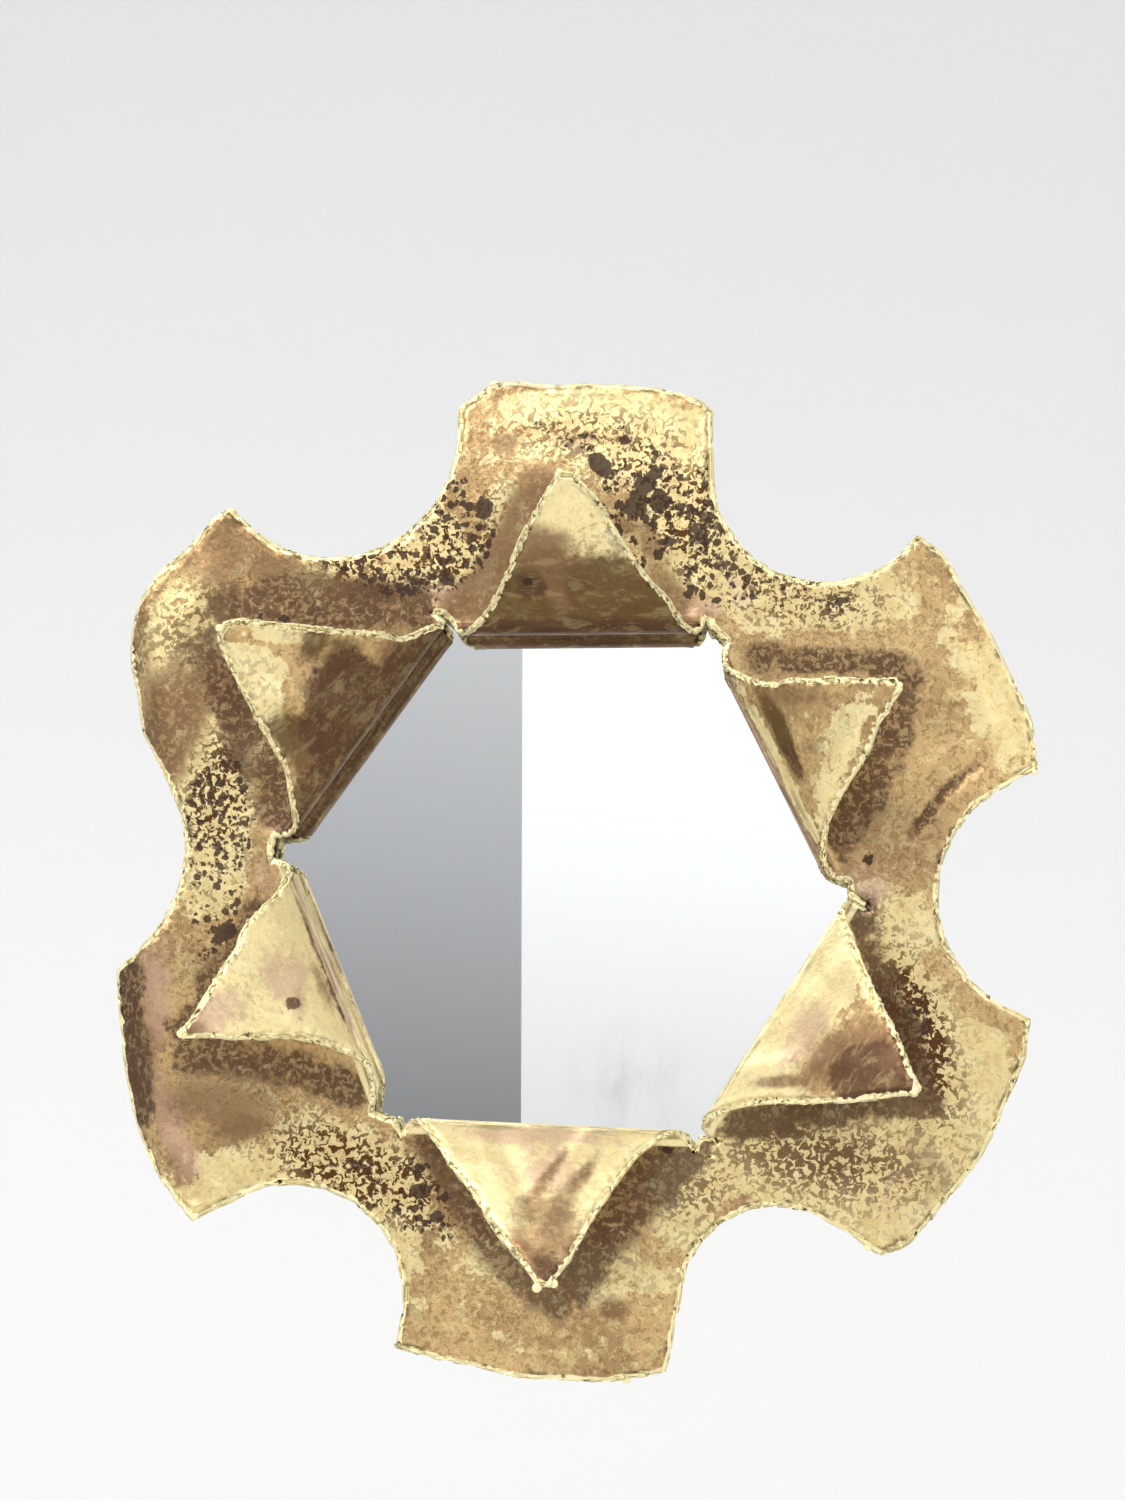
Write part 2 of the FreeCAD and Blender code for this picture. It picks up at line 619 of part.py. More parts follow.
def retaining_tab(number, azimuth):
    """Brass strip whose leg is brazed to the band and whose finger lies on the board."""
    thick = size("tab_thickness")
    inner = size("tab_bend_radius")
    leg = size("tab_leg")
    finger = size("tab_finger")
    body = new_body(f"retaining_tab_{number}")
    sketch = new_sketch(body, f"tab_{number}_section", "XY_Plane")
    # The sketch's origin is the bend's centre: the leg runs to -Y, the finger to -X.
    centre = (0, 0)
    leg_in = line(sketch, (inner, -leg), (inner, 0))
    bend_in = arc(sketch, centre, inner, 0, 90)
    finger_in = line(sketch, (0, inner), (-finger, inner))
    finger_end = line(sketch, (-finger, inner), (-finger, inner + thick))
    finger_out = line(sketch, (-finger, inner + thick), (0, inner + thick))
    bend_out = arc(sketch, centre, inner + thick, 0, 90)
    leg_out = line(sketch, (inner + thick, 0), (inner + thick, -leg))
    leg_end = line(sketch, (inner + thick, -leg), (inner, -leg))
    rule(sketch, "Tangent", leg_in, 2, bend_in, 1)
    rule(sketch, "Tangent", bend_in, 2, finger_in, 1)
    rule(sketch, "Coincident", finger_in, 2, finger_end, 1)
    rule(sketch, "Coincident", finger_end, 2, finger_out, 1)
    rule(sketch, "Tangent", finger_out, 2, bend_out, 2)
    rule(sketch, "Tangent", bend_out, 1, leg_out, 1)
    rule(sketch, "Coincident", leg_out, 2, leg_end, 1)
    rule(sketch, "Coincident", leg_end, 2, leg_in, 1)
    rule(sketch, "Coincident", bend_in, 3, -1, 1)
    rule(sketch, "Coincident", bend_out, 3, -1, 1)
    rule(sketch, "Vertical", leg_in)
    rule(sketch, "Vertical", leg_out)
    rule(sketch, "Horizontal", finger_in)
    rule(sketch, "Horizontal", finger_out)
    rule(sketch, "Horizontal", leg_end)
    rule(sketch, "Vertical", finger_end)
    constraint = Sketcher.Constraint
    named(sketch, constraint("Radius", bend_in, inner), "S.tab_bend_radius")
    named(sketch, constraint("Radius", bend_out, inner + thick), "S.tab_bend_radius + S.tab_thickness")
    named(sketch, constraint("Distance", leg_in, leg), "S.tab_leg")
    named(sketch, constraint("Distance", finger_in, finger), "S.tab_finger")
    symmetric_pad(body, sketch, "S.tab_width")
    band_outer = "(S.glass_radius + S.edge_clearance + S.band_thickness)"
    reach = f"({band_outer} + S.tab_gap - S.tab_bend_radius)"
    body.Placement.Rotation = turn_about_y(azimuth)
    bind(body, Placement__Base__x=f"{reach} * cos({azimuth})",
         Placement__Base__z=f"{reach} * sin({azimuth})",
         Placement__Base__y=f"-{BOARD_BACK} - S.tab_bend_radius")
    return body


def wall_bumper(number, azimuth):
    """Tapered rubber foot between the board and the wall."""
    item = doc.addObject("Part::Cone", f"wall_bumper_{number}")
    item.Placement.Rotation = FreeCAD.Rotation(VECTOR(1, 0, 0), 90)
    bind(item, Radius1="S.bumper_face_radius", Radius2="S.bumper_base_radius",
         Height="S.bumper_height",
         Placement__Base__x=f"(S.glass_radius - S.bumper_inset) * cos({azimuth})",
         Placement__Base__z=f"(S.glass_radius - S.bumper_inset) * sin({azimuth})")
    return item


# Hanger


# The ring's bar is square, so its corners set the bore that it turns in.
BORE = "(S.ring_gauge / sqrt(2) + S.bar_clearance)"
KNUCKLE = f"({BORE} + S.strap_thickness)"


def hanger_strap():
    """Strap doubled round the ring's bar, with its two layers riveted to the board."""
    thick = size("strap_thickness")
    inner = size("ring_gauge") / math.sqrt(2) + size("bar_clearance")
    knuckle = inner + thick
    length = size("strap_length")
    body = new_body("hanger_strap")
    sketch = new_sketch(body, "strap_section", "YZ_Plane")
    # Sketch x is +Y and sketch y is +Z; the origin is the middle of the ring's bar.
    # The first layer lies on the board, the second on the first.
    board = -knuckle
    over = board + 2 * thick
    join = math.degrees(math.acos(over / knuckle))
    outer = arc(sketch, (0, 0), knuckle, -join, 180)
    outer_end = polar((0, 0), knuckle, -join)
    bore = sketch.addGeometry(Part.Circle(VECTOR(), VECTOR(0, 0, 1), inner), False)
    board_line = line(sketch, (board, 0), (board, -length))
    end_line = line(sketch, (board, -length), (over, -length))
    top_line = line(sketch, (over, -length), outer_end)
    rule(sketch, "Coincident", outer, 3, -1, 1)
    rule(sketch, "Coincident", bore, 3, -1, 1)
    rule(sketch, "Tangent", outer, 2, board_line, 1)
    rule(sketch, "Coincident", board_line, 2, end_line, 1)
    rule(sketch, "Coincident", end_line, 2, top_line, 1)
    rule(sketch, "Coincident", top_line, 2, outer, 1)
    rule(sketch, "Vertical", board_line)
    rule(sketch, "Vertical", top_line)
    rule(sketch, "Horizontal", end_line)
    constraint = Sketcher.Constraint
    named(sketch, constraint("Radius", outer, knuckle), KNUCKLE)
    named(sketch, constraint("Radius", bore, inner), BORE)
    named(sketch, constraint("Distance", board_line, length), "S.strap_length")
    named(sketch, constraint("Distance", end_line, 2 * thick), "2 * S.strap_thickness")
    symmetric_pad(body, sketch, "S.strap_width")
    holes = new_sketch(body, "strap_rivet_holes", "XZ_Plane")
    radius = size("rivet_radius") + size("rivet_clearance")
    for drop in ("S.rivet_first", "S.rivet_first + S.rivet_pitch"):
        centre = VECTOR(0, -size("rivet_first"), 0)
        hole = holes.addGeometry(Part.Circle(centre, VECTOR(0, 0, 1), radius), False)
        rule(holes, "PointOnObject", hole, 3, -2)
        named(holes, constraint("DistanceY", hole, 3, -1, 1, size("rivet_first")), drop)
        named(holes, constraint("Radius", hole, radius), "S.rivet_radius + S.rivet_clearance")
    pocket = body.newObject("PartDesign::Pocket", "strap_pocket")
    pocket.Profile = holes
    pocket.SideType = "Symmetric"
    bind(pocket, Length="4 * S.strap_length")
    bind(body, Placement__Base__y=f"{KNUCKLE} - {BOARD_BACK}", Placement__Base__z=HANGER_HEIGHT)
    return body


def ring_outline(sketch, growth, offset):
    """One closed D: the ring's middle line, moved outwards by growth, bound to offset."""
    half = size("ring_half_width") + growth
    corner = size("ring_corner_radius") + growth
    side = size("ring_side")
    low = -growth
    shoulder = low + corner
    bar = line(sketch, (corner - half, low), (half - corner, low))
    right_corner = arc(sketch, (half - corner, shoulder), corner, -90, 0)
    right_side = line(sketch, (half, shoulder), (half, shoulder + side))
    crown = arc(sketch, (0, shoulder + side), half, 0, 180)
    left_side = line(sketch, (-half, shoulder + side), (-half, shoulder))
    left_corner = arc(sketch, (corner - half, shoulder), corner, 180, 270)
    rule(sketch, "Tangent", bar, 2, right_corner, 1)
    rule(sketch, "Tangent", right_corner, 2, right_side, 1)
    rule(sketch, "Tangent", right_side, 2, crown, 1)
    rule(sketch, "Tangent", crown, 2, left_side, 1)
    rule(sketch, "Tangent", left_side, 2, left_corner, 1)
    rule(sketch, "Tangent", left_corner, 2, bar, 1)
    rule(sketch, "Horizontal", bar)
    rule(sketch, "PointOnObject", crown, 3, -2)
    rule(sketch, "Vertical", right_side)
    constraint = Sketcher.Constraint
    named(sketch, constraint("Radius", crown, half), f"S.ring_half_width + {offset}")
    named(sketch, constraint("Radius", right_corner, corner), f"S.ring_corner_radius + {offset}")
    named(sketch, constraint("Radius", left_corner, corner), f"S.ring_corner_radius + {offset}")
    named(sketch, constraint("Distance", right_side, side), "S.ring_side")
    named(sketch, constraint("DistanceY", -1, 1, bar, 1, low), f"-({offset})")


def hanger_ring():
    """D-ring pressed from thick strip, whose straight bar turns in the strap."""
    gauge = size("ring_gauge")
    body = new_body("hanger_ring")
    sketch = new_sketch(body, "ring_outlines", "XZ_Plane")
    ring_outline(sketch, gauge / 2, "S.ring_gauge / 2")
    ring_outline(sketch, -gauge / 2, "-S.ring_gauge / 2")
    symmetric_pad(body, sketch, "S.ring_gauge")
    body.Placement.Rotation = FreeCAD.Rotation(VECTOR(1, 0, 0), size("ring_lean"))
    bind(body, Placement__Rotation__Angle="S.ring_lean",
         Placement__Base__y=f"{KNUCKLE} - {BOARD_BACK}", Placement__Base__z=HANGER_HEIGHT)
    return body


def rivet(number, height):
    """Flat head behind the glass pad, shank through board and strap, and a closed end."""
    shank = size("rivet_radius")
    head = size("rivet_head_radius")
    rise = size("rivet_head_height")
    grip = size("board_thickness") + 2 * size("strap_thickness")
    body = new_body(f"rivet_{number}")
    sketch = new_sketch(body, f"rivet_{number}_half_section", "XY_Plane")
    # Sketch y is +Y, towards the wall; y = 0 is the board's front face.
    points = ((0, -rise), (head, -rise), (head, 0), (shank, 0), (shank, grip),
              (head, grip), (head, grip + rise), (0, grip + rise))
    edges = [line(sketch, point, points[(spot + 1) % len(points)])
             for spot, point in enumerate(points)]
    for spot, edge in enumerate(edges):
        rule(sketch, "Coincident", edge, 2, edges[(spot + 1) % len(edges)], 1)
        rule(sketch, "Horizontal" if spot % 2 == 0 else "Vertical", edge)
    rule(sketch, "PointOnObject", edges[0], 1, -2)
    rule(sketch, "PointOnObject", edges[2], 1, -1)
    constraint = Sketcher.Constraint
    named(sketch, constraint("Distance", edges[0], head), "S.rivet_head_radius")
    named(sketch, constraint("Distance", edges[6], head), "S.rivet_head_radius")
    named(sketch, constraint("Distance", edges[1], rise), "S.rivet_head_height")
    named(sketch, constraint("Distance", edges[5], rise), "S.rivet_head_height")
    named(sketch, constraint("Distance", edges[3], grip), "S.board_thickness + 2 * S.strap_thickness")
    named(sketch, constraint("DistanceX", -1, 1, edges[3], 1, shank), "S.rivet_radius")
    spin = body.newObject("PartDesign::Revolution", f"rivet_{number}_spin")
    spin.Profile = sketch
    spin.ReferenceAxis = (sketch, ["V_Axis"])
    spin.Angle = 360
    bind(body, Placement__Base__y=f"-{PAD_BACK}", Placement__Base__z=height)
    return body


def hanger_rivets():
    group = doc.addObject("Part::Compound", "hanger_rivets")
    group.Links = [rivet(number, height) for number, height in enumerate(RIVET_HEIGHTS, 1)]
    return group


def build():
    """Make every node of the mirror."""
    nodes = [frame_plate(), rim_band(), glazing_ring(), mirror_glass(), cushion_pad(), backing_disc()]
    for number, azimuth in enumerate(TAB_AZIMUTHS, 1):
        nodes.append(retaining_tab(number, azimuth))
    nodes += [hanger_strap(), hanger_ring(), hanger_rivets()]
    for number, azimuth in enumerate(BUMPER_AZIMUTHS, 1):
        nodes.append(wall_bumper(number, azimuth))
    doc.recompute()
    return nodes


def check(nodes):
    """Stop if any object failed, or any node is empty or not valid."""
    for item in doc.Objects:
        if "Invalid" in item.State or "Error" in item.State:
            raise RuntimeError(f"{item.Name} failed: {item.State}")
    for node in nodes:
        shape = node.Shape
        if shape.isNull() or not shape.isValid() or not shape.Solids:
            raise RuntimeError(f"{node.Name} has no valid solid")
        print(f"{node.Label}: {len(shape.Solids)} solid, {shape.Volume:.1f} mm3")


def write(nodes):
    os.makedirs("parts", exist_ok=True)
    for node in nodes:
        node.Shape.exportStep(os.path.join("parts", f"{node.Label}.step"))


fill_sheet()
parts = build()
check(parts)
write(parts)
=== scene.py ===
"""A torch-cut brass wall mirror: the formed sheet, its glass, its back and the stage."""

import math

import bmesh
import bpy
from mathutils import Matrix, Vector, kdtree, noise


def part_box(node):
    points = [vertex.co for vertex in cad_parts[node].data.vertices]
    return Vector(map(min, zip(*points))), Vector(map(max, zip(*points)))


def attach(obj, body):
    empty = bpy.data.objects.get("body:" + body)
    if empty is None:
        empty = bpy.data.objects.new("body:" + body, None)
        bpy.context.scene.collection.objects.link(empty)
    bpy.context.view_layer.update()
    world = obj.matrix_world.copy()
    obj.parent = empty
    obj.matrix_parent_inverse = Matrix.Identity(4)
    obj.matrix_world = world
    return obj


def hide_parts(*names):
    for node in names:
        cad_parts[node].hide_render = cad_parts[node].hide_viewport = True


bl_info = {
    "name": "Torch-Cut Brass Mirror",
    "version": (1, 0, 0),
    "blender": (4, 5, 0),
    "location": "3D View > Sidebar > Brass Mirror",
    "description": "Builds a wall mirror whose brass sheet is cut by torch and rolled by hand",
    "category": "Object",
}

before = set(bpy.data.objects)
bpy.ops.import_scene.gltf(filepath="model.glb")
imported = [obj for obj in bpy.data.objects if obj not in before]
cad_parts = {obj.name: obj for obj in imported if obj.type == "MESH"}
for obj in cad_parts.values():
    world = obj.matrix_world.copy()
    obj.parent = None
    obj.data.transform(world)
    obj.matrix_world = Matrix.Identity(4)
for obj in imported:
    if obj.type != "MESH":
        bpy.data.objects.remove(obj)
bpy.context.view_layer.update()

MM = 0.001
LOBES = 6
SECTOR = 360.0 / LOBES

# Places nearer to each other than this count as one.
HAIR = 0.001 * MM

# Widths of the two rows of faces along every cut.
RIM_ROWS = (0.5 * MM, 0.8 * MM)

# The back of the sheet rests on the band behind it.
SHEET_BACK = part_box("rim_band")[0].y


def length(name, description, default):
    return bpy.props.FloatProperty(
        name=name, description=description, default=default, unit="LENGTH")


def colour(name, description, default):
    return bpy.props.FloatVectorProperty(
        name=name, description=description, default=default, size=3, subtype="COLOR",
        min=0.0, max=1.0)


def from_hex(code):
    """Linear colour of a hex code."""
    parts = [int(code[place:place + 2], 16) / 255 for place in (0, 2, 4)]
    return tuple(part / 12.92 if part <= 0.04045 else ((part + 0.055) / 1.055) ** 2.4
                 for part in parts)


class SheetSizes(bpy.types.PropertyGroup):
    """Sizes of the brass sheet and of the marks that the torch leaves on it."""
    gauge: length("Sheet gauge", "Thickness of the sheet", 0.0016)
    bead_gauge: length("Melted edge", "Thickness of the bead along a torch cut", 0.0023)
    lip_gauge: length("Edge lip", "Thickness at the very edge", 0.0011)
    apothem: length("Opening apothem", "Middle of the opening to the nominal fold line", 0.0813)
    fold_radius: length("Fold radius", "Radius of the folds at the sheet's middle", 0.0045)
    blade_radius: length("Petal curve", "Radius of the petals' gentle curve", 0.170)
    bend_radius: length("Lobe bend radius", "Radius of the lobes' soft bend", 0.060)
    bend_distance: length("Lobe bend distance", "Where a lobe starts to bend back", 0.126)
    crease_radius: length("Crease radius", "Radius of a sharp crease", 0.005)
    crease_distance: length("Crease distance", "Nominal distance of the creases", 0.1275)
    root_reach: bpy.props.FloatProperty(
        name="Root reach", description="How far a petal's root reaches towards the slit's end",
        default=0.55, subtype="FACTOR")
    cell: length("Mesh cell", "Width of a cell of the sheet's mesh", 0.0019)
    fold_cell: length("Fold cell", "Height of a cell where the sheet is rolled", 0.0010)
    ripple: length("Ripple", "Height of the sheet's hammered ripple", 0.0007)


class BrassColours(bpy.types.PropertyGroup):
    """Colours of the flame-coloured brass."""
    # Besides the brass's own colours, some of these paint light and shade: pale and pink paint
    # highlights on the petals, brown and plum paint shade beside the petals and in the lobes'
    # bends, olive paints shade on the petals, and dark paints shade along the folds and beside the
    # melted edge.
    pale: colour("Pale brass", "Brass scoured bright", from_hex("EEDA9D"))
    gold: colour("Gold brass", "Brass with a thin tarnish", from_hex("D2B07C"))
    brown: colour("Brown tint", "Brass browned by heat", from_hex("876748"))
    burnt_and_shadow: colour("Burnt brown", "Brown flecks where the flame spat", from_hex("5E3C1E"))
    dark: colour("Scale", "Dark scale left by the flame", from_hex("3A2414"))
    pink: colour("Pink tint", "Copper-pink heat tint", from_hex("C8A08C"))
    plum: colour("Plum tint", "Deep brown heat tint", from_hex("5C422F"))
    olive: colour("Olive tint", "Olive shade on the petals", from_hex("624A2A"))
    cream: colour("Melted edge", "Bright bead along the cuts", from_hex("FFF2BE"))


class BackColours(bpy.types.PropertyGroup):
    """Colours of the pieces behind the sheet."""
    silver: colour("Mirror", "Silvered glass", (0.93, 0.94, 0.93))
    rubber: colour("Rubber", "Feet and glazing ring", from_hex("2A2A2B"))
    board: colour("Hardboard", "Backing board", from_hex("7A5232"))
    felt: colour("Felt", "Cushion behind the glass", from_hex("4B4B47"))
    steel: colour("Plated steel", "Hanger", from_hex("C9CBCC"))
    rivet: colour("Aluminium", "Rivets", from_hex("CFD1D3"))


class StageSizes(bpy.types.PropertyGroup):
    """Camera, floor and light."""
    distance: length("Camera distance", "From the sheet to the camera", 0.800)
    lens: bpy.props.FloatProperty(
        name="Lens", description="Focal length for a 36 mm long side, in mm", default=60.0)
    roll: bpy.props.FloatProperty(
        name="Roll", description="How far the camera leans", default=math.radians(3.8),
        unit="ROTATION")
    floor_drop: length("Floor drop", "From the opening's middle down to the floor", 0.45)
    sweep: length("Sweep", "Radius of the curve that carries the floor up behind", 1.6)
    floor: colour("Floor", "Plain pale floor", (0.80, 0.80, 0.79))


def direction(azimuth):
    """Unit vector in the sheet's plane at an azimuth in degrees."""
    angle = math.radians(azimuth)
    return Vector((math.cos(angle), math.sin(angle)))


def at(radius, azimuth):
    return direction(azimuth) * radius


# Ends of the slits, one between each two petals: distance from the middle in mm, and azimuth.
SLIT_ENDS = ((92.8, -1.1), (92.6, 62.4), (92.9, 118.4), (94.2, 178.5), (95.2, 239.9),
             (96.0, 301.8))

# Six scallops: distance of the centre in mm, azimuth, radius in mm.
SCALLOPS = (
    (160.8, 0.9, 39.8),
    (155.4, 60.6, 36.3),
    (162.4, 121.3, 40.7),
    (165.4, 180.8, 42.7),
    (161.5, 241.4, 36.4),
    (153.3, 300.5, 30.1),
)

# Outer edge of each lobe, from one corner to the other: azimuth and distance in mm.
LOBE_EDGES = {
    "upper_right": ((16.1, 156.8), (22, 159.1), (27, 158.4), (33, 158.7), (39, 159.4), (44, 161.0),
                    (47.4, 158.9)),
    "top": ((76.0, 158.6), (79, 161.8), (85, 161.7), (91, 160.8), (96, 160.9), (100, 162.9),
            (103, 161.4), (106.2, 156.9)),
    "upper_left": ((135.8, 161.6), (138, 163.4), (142, 162.8), (147, 165.0), (152, 164.6),
                   (156, 161.1), (160, 153.6), (165.0, 145.3)),
    "lower_left": ((195.4, 149.9), (198, 151.0), (203, 153.8), (208, 157.5), (214, 160.9),
                   (220, 162.6), (227.0, 163.0)),
    "bottom": ((254.6, 161.3), (260, 160.9), (264, 160.6), (269, 162.3), (274, 162.1),
               (279, 163.6), (285.7, 163.2)),
    "lower_right": ((313.8, 159.7), (317, 162.8), (323, 162.2), (330, 162.2), (337, 160.3),
                    (342, 159.8), (346.1, 157.5)),
}

# Each lobe: azimuth of the bend, its distance as a share, and its angle in degrees.
LOBE_BENDS = {
    "upper_right": (30.0, 0.99, 10.0),
    "top": (90.0, 1.00, 7.0),
    "upper_left": (192.5, 0.943, 40.0),
    "lower_left": (190.0, 1.059, 38.0),
    "bottom": (270.0, 1.02, 5.0),
    "lower_right": (330.0, 1.01, 7.0),
}

# Lobes whose outer corner is creased back sharply.
CREASED = ("upper_left", "lower_left")

# Each petal: azimuth of the fold's normal, share of the apothem, turn of the fold in degrees.
FOLDS = {
    "upper_right": (30.0, 0.947, 130.0),
    "top": (93.8, 0.953, 130.0),
    "upper_left": (147.9, 0.960, 130.0),
    "lower_left": (205.8, 0.990, 130.0),
    "bottom": (271.1, 1.006, 130.0),
    "lower_right": (330.9, 1.015, 127.0),
}

# Edges of each petal, unrolled, in mm: distance from the fold's start, and distance sideways.
# The first edge is the one on the side of the greater azimuth.
PETAL_EDGES = {
    "upper_right": (
        ((0, 37), (7, 34), (15, 28.4), (20, 24.1), (25.4, 20.8), (30, 20.3), (37, 16.4),
         (46, 12.3), (54, 7.6), (59, 4.9), (65.4, 1.6)),
        ((0, -40), (7, -35.5), (15, -28.3), (22.7, -23.3), (31.5, -18.9), (39.7, -15.7),
         (46.5, -11.9), (52, -7.6), (57.5, -5.7), (60, -4.2), (65.4, -2.2))),
    "top": (
        ((0, 33), (7, 30.5), (11.5, 27.4), (18.5, 21.9), (28.2, 16.9), (35.4, 13.5),
         (43, 10.4), (51, 5.8), (57.3, 2.0), (64.6, -2.4)),
        ((0, -45.5), (7, -43), (12.3, -39.5), (20, -36.3), (26, -31.7), (34.7, -25.7),
         (42.2, -21.6), (49, -18.1), (56, -14.7), (61, -10.6), (64.6, -7.2))),
    "upper_left": (
        ((0, 41), (5, 39.5), (9.8, 37), (16.2, 31.9), (22.3, 26.4), (28, 23.3), (34.2, 20.9),
         (40.3, 18.5), (46.3, 16.1), (51.7, 13.4), (57.3, 10.3), (63.2, 7.5), (68.6, 4.0)),
        ((0, -43.6), (6, -43), (10.6, -41), (14.6, -35.6), (19, -30.5), (24.4, -28.5),
         (30.7, -25.1), (37.2, -21.1), (44.5, -16.9), (51.6, -12.6), (58.6, -8.5),
         (65.1, -4.9), (69.2, -0.6))),
    "lower_left": (
        ((0, 43), (5, 38), (9.6, 33.1), (15, 28.5), (20.6, 25.0), (25.2, 22.6), (31, 19.9),
         (36.7, 18.0), (45, 16.0), (52.6, 13.4), (59, 11.2), (67, 9.2)),
        ((0, -36), (7, -33), (15, -28.4), (22.7, -24.5), (29.7, -21.2), (34.6, -18.2),
         (38.3, -13.9), (44, -9.8), (50, -5.6), (54, -2.0), (58.5, 1.4), (63.3, 4.5), (66.6, 6.2))),
    "bottom": (
        ((0, 45), (4, 43.8), (7.4, 42), (12, 37.2), (17, 32.8), (22.2, 29.2), (31, 25.1),
         (39.5, 21.6), (47.5, 18.2), (55, 15.4), (62.4, 12.7), (67, 9.9), (72.2, 7.4)),
        ((0, -44.5), (6, -42.6), (11.3, -39.6), (19.4, -33.5), (28, -28.8), (36, -22.3),
         (43.6, -17.2), (51, -13.0), (57.2, -8.2), (62.5, -3.6), (67.6, 0.6), (71.6, 3.2))),
    "lower_right": (
        ((0, 43), (7, 40), (12, 37), (18, 33.5), (28.4, 28.3), (36.7, 23.9), (44.5, 19.6),
         (51, 16.4), (56.3, 13.8), (62.5, 10.6), (68.6, 6.6), (77, 2.4)),
        ((0, -44.5), (8, -42), (14.6, -36.3), (21.7, -31.1), (33, -25.1), (42, -21.2),
         (51.2, -16.6), (58.7, -12.4), (65.6, -7.9), (72.2, -3.3), (77.4, -0.6))),
}

# Creases pressed across the petals: petal, start and end as unrolled mm, depth and width in mm.
PETAL_CREASES = (
    ("upper_left", (16, -6), (46, 12), 1.6, 7), ("upper_left", (15, -12), (50, -8), -1.1, 6),
    ("upper_left", (30, 2), (64, 3), -0.8, 7), ("bottom", (12, 14), (52, 2), 1.2, 6),
    ("bottom", (12, -16), (46, 0), -0.7, 6), ("bottom", (14, 28), (44, 12), -0.8, 5),
    ("top", (12, 2), (40, 4), -0.7, 6), ("top", (12, -16), (38, -8), 0.5, 8),
    ("lower_right", (14, -20), (60, 2), 0.8, 8), ("lower_right", (16, 16), (50, 10), -0.6, 9),
    ("upper_right", (14, -18), (44, -4), 0.6, 6), ("upper_right", (16, 12), (50, 4), -0.5, 7),
    ("lower_left", (12, -8), (40, 4), -0.6, 8), ("lower_left", (26, 8), (30, 13), 1.4, 2.6),
)

# Grooves and ridges in the flat part: points in mm, depth towards the wall and width in mm.
SHEET_CREASES = (
    (((112.4, 21.3), (120.9, 34), (131.2, 43.7)), 1.6, 4.6),
    (((107.8, 27), (115.5, 39.5), (126.4, 50)), -0.7, 4),
    (((109.4, 100.3), (118.2, 88.4), (126.9, 74.5), (134, 58)), -0.8, 4.5),
    (((-18.5, 144.2), (-4, 146.6), (8, 147.4)), 0.5, 2.2),
    (((16.1, 148.3), (26.9, 140), (31.8, 124.3)), 0.5, 2.4),
    (((-32.1, -148.7), (9.5, -148.2), (39.5, -141.4)), 0.5, 2.4),
    (((-128, -58), (-120, -85), (-105, -104)), 0.9, 6),
    (((-121, 92), (-132, 70), (-129, 45)), -0.8, 9),
)

# Melted lumps on the flat part: place, radius and height in mm.
LUMPS = (
    (38, 84.9, 3, 1.5), (43, 82.6, 2.4, 1.6), (94.4, 3, 2.6, 1.5), (93.6, -3, 2, 1.2),
    (46.7, -81.6, 3, 1.6), (52, -85.6, 2.6, 1.5), (-55, -72, 3.2, 1.6), (-51.5, -79.6, 2.6, 1.4),
    (-110.2, -116.4, 3.4, 1.8), (31.2, -161, 2.4, 1.4), (-33.8, 158.2, 3.4, 1.7),
    (108, -112.4, 3.6, 1.2), (-115.4, 110.6, 2.6, 1.2), (105.6, 115.2, 2.8, 1),
    (149, 42.6, 2.6, 1.1), (150.6, -37.4, 2.4, 1), (-141.2, -36.4, 2.6, 1),
    (-41.4, -153.4, 2.6, 1.2), (42, -154.6, 2.6, 1.2), (-47.2, -83.6, 2.6, 1.4),
    (-93.4, 4.6, 2.4, 1.3), (-92, -2, 2.2, 1.1), (-46.4, 83.6, 2.4, 1.2),
)

# Beads of melt at the petals' tips: petal, place on the unrolled petal and radius in mm.
TIP_BEADS = (
    ("bottom", 70.6, 8.6, 1.25), ("bottom", 72.2, 3.6, 1.5), ("upper_left", 69.2, 1.6, 1.3),
    ("top", 64.8, -3.4, 1.1), ("lower_left", 67, 7.6, 1.2), ("lower_right", 76, 1.6, 1.3),
    ("upper_right", 65, -0.6, 1.2),
)

# Beads that hang on the rim of the lobes: place and radius in mm.
RIM_BEADS = (
    (-110.6, -117.6, 2), (-112.6, -113.8, 1.2), (31.8, -160.4, 1.5), (-33.4, 159, 1.5),
    (-115.8, 111.4, 1.4), (106, -113.4, 1.3), (149.6, 42.4, 1.2), (-41.6, -152.6, 1.2),
    (46, -124.6, 1.1), (-122, -101, 1.2),
)
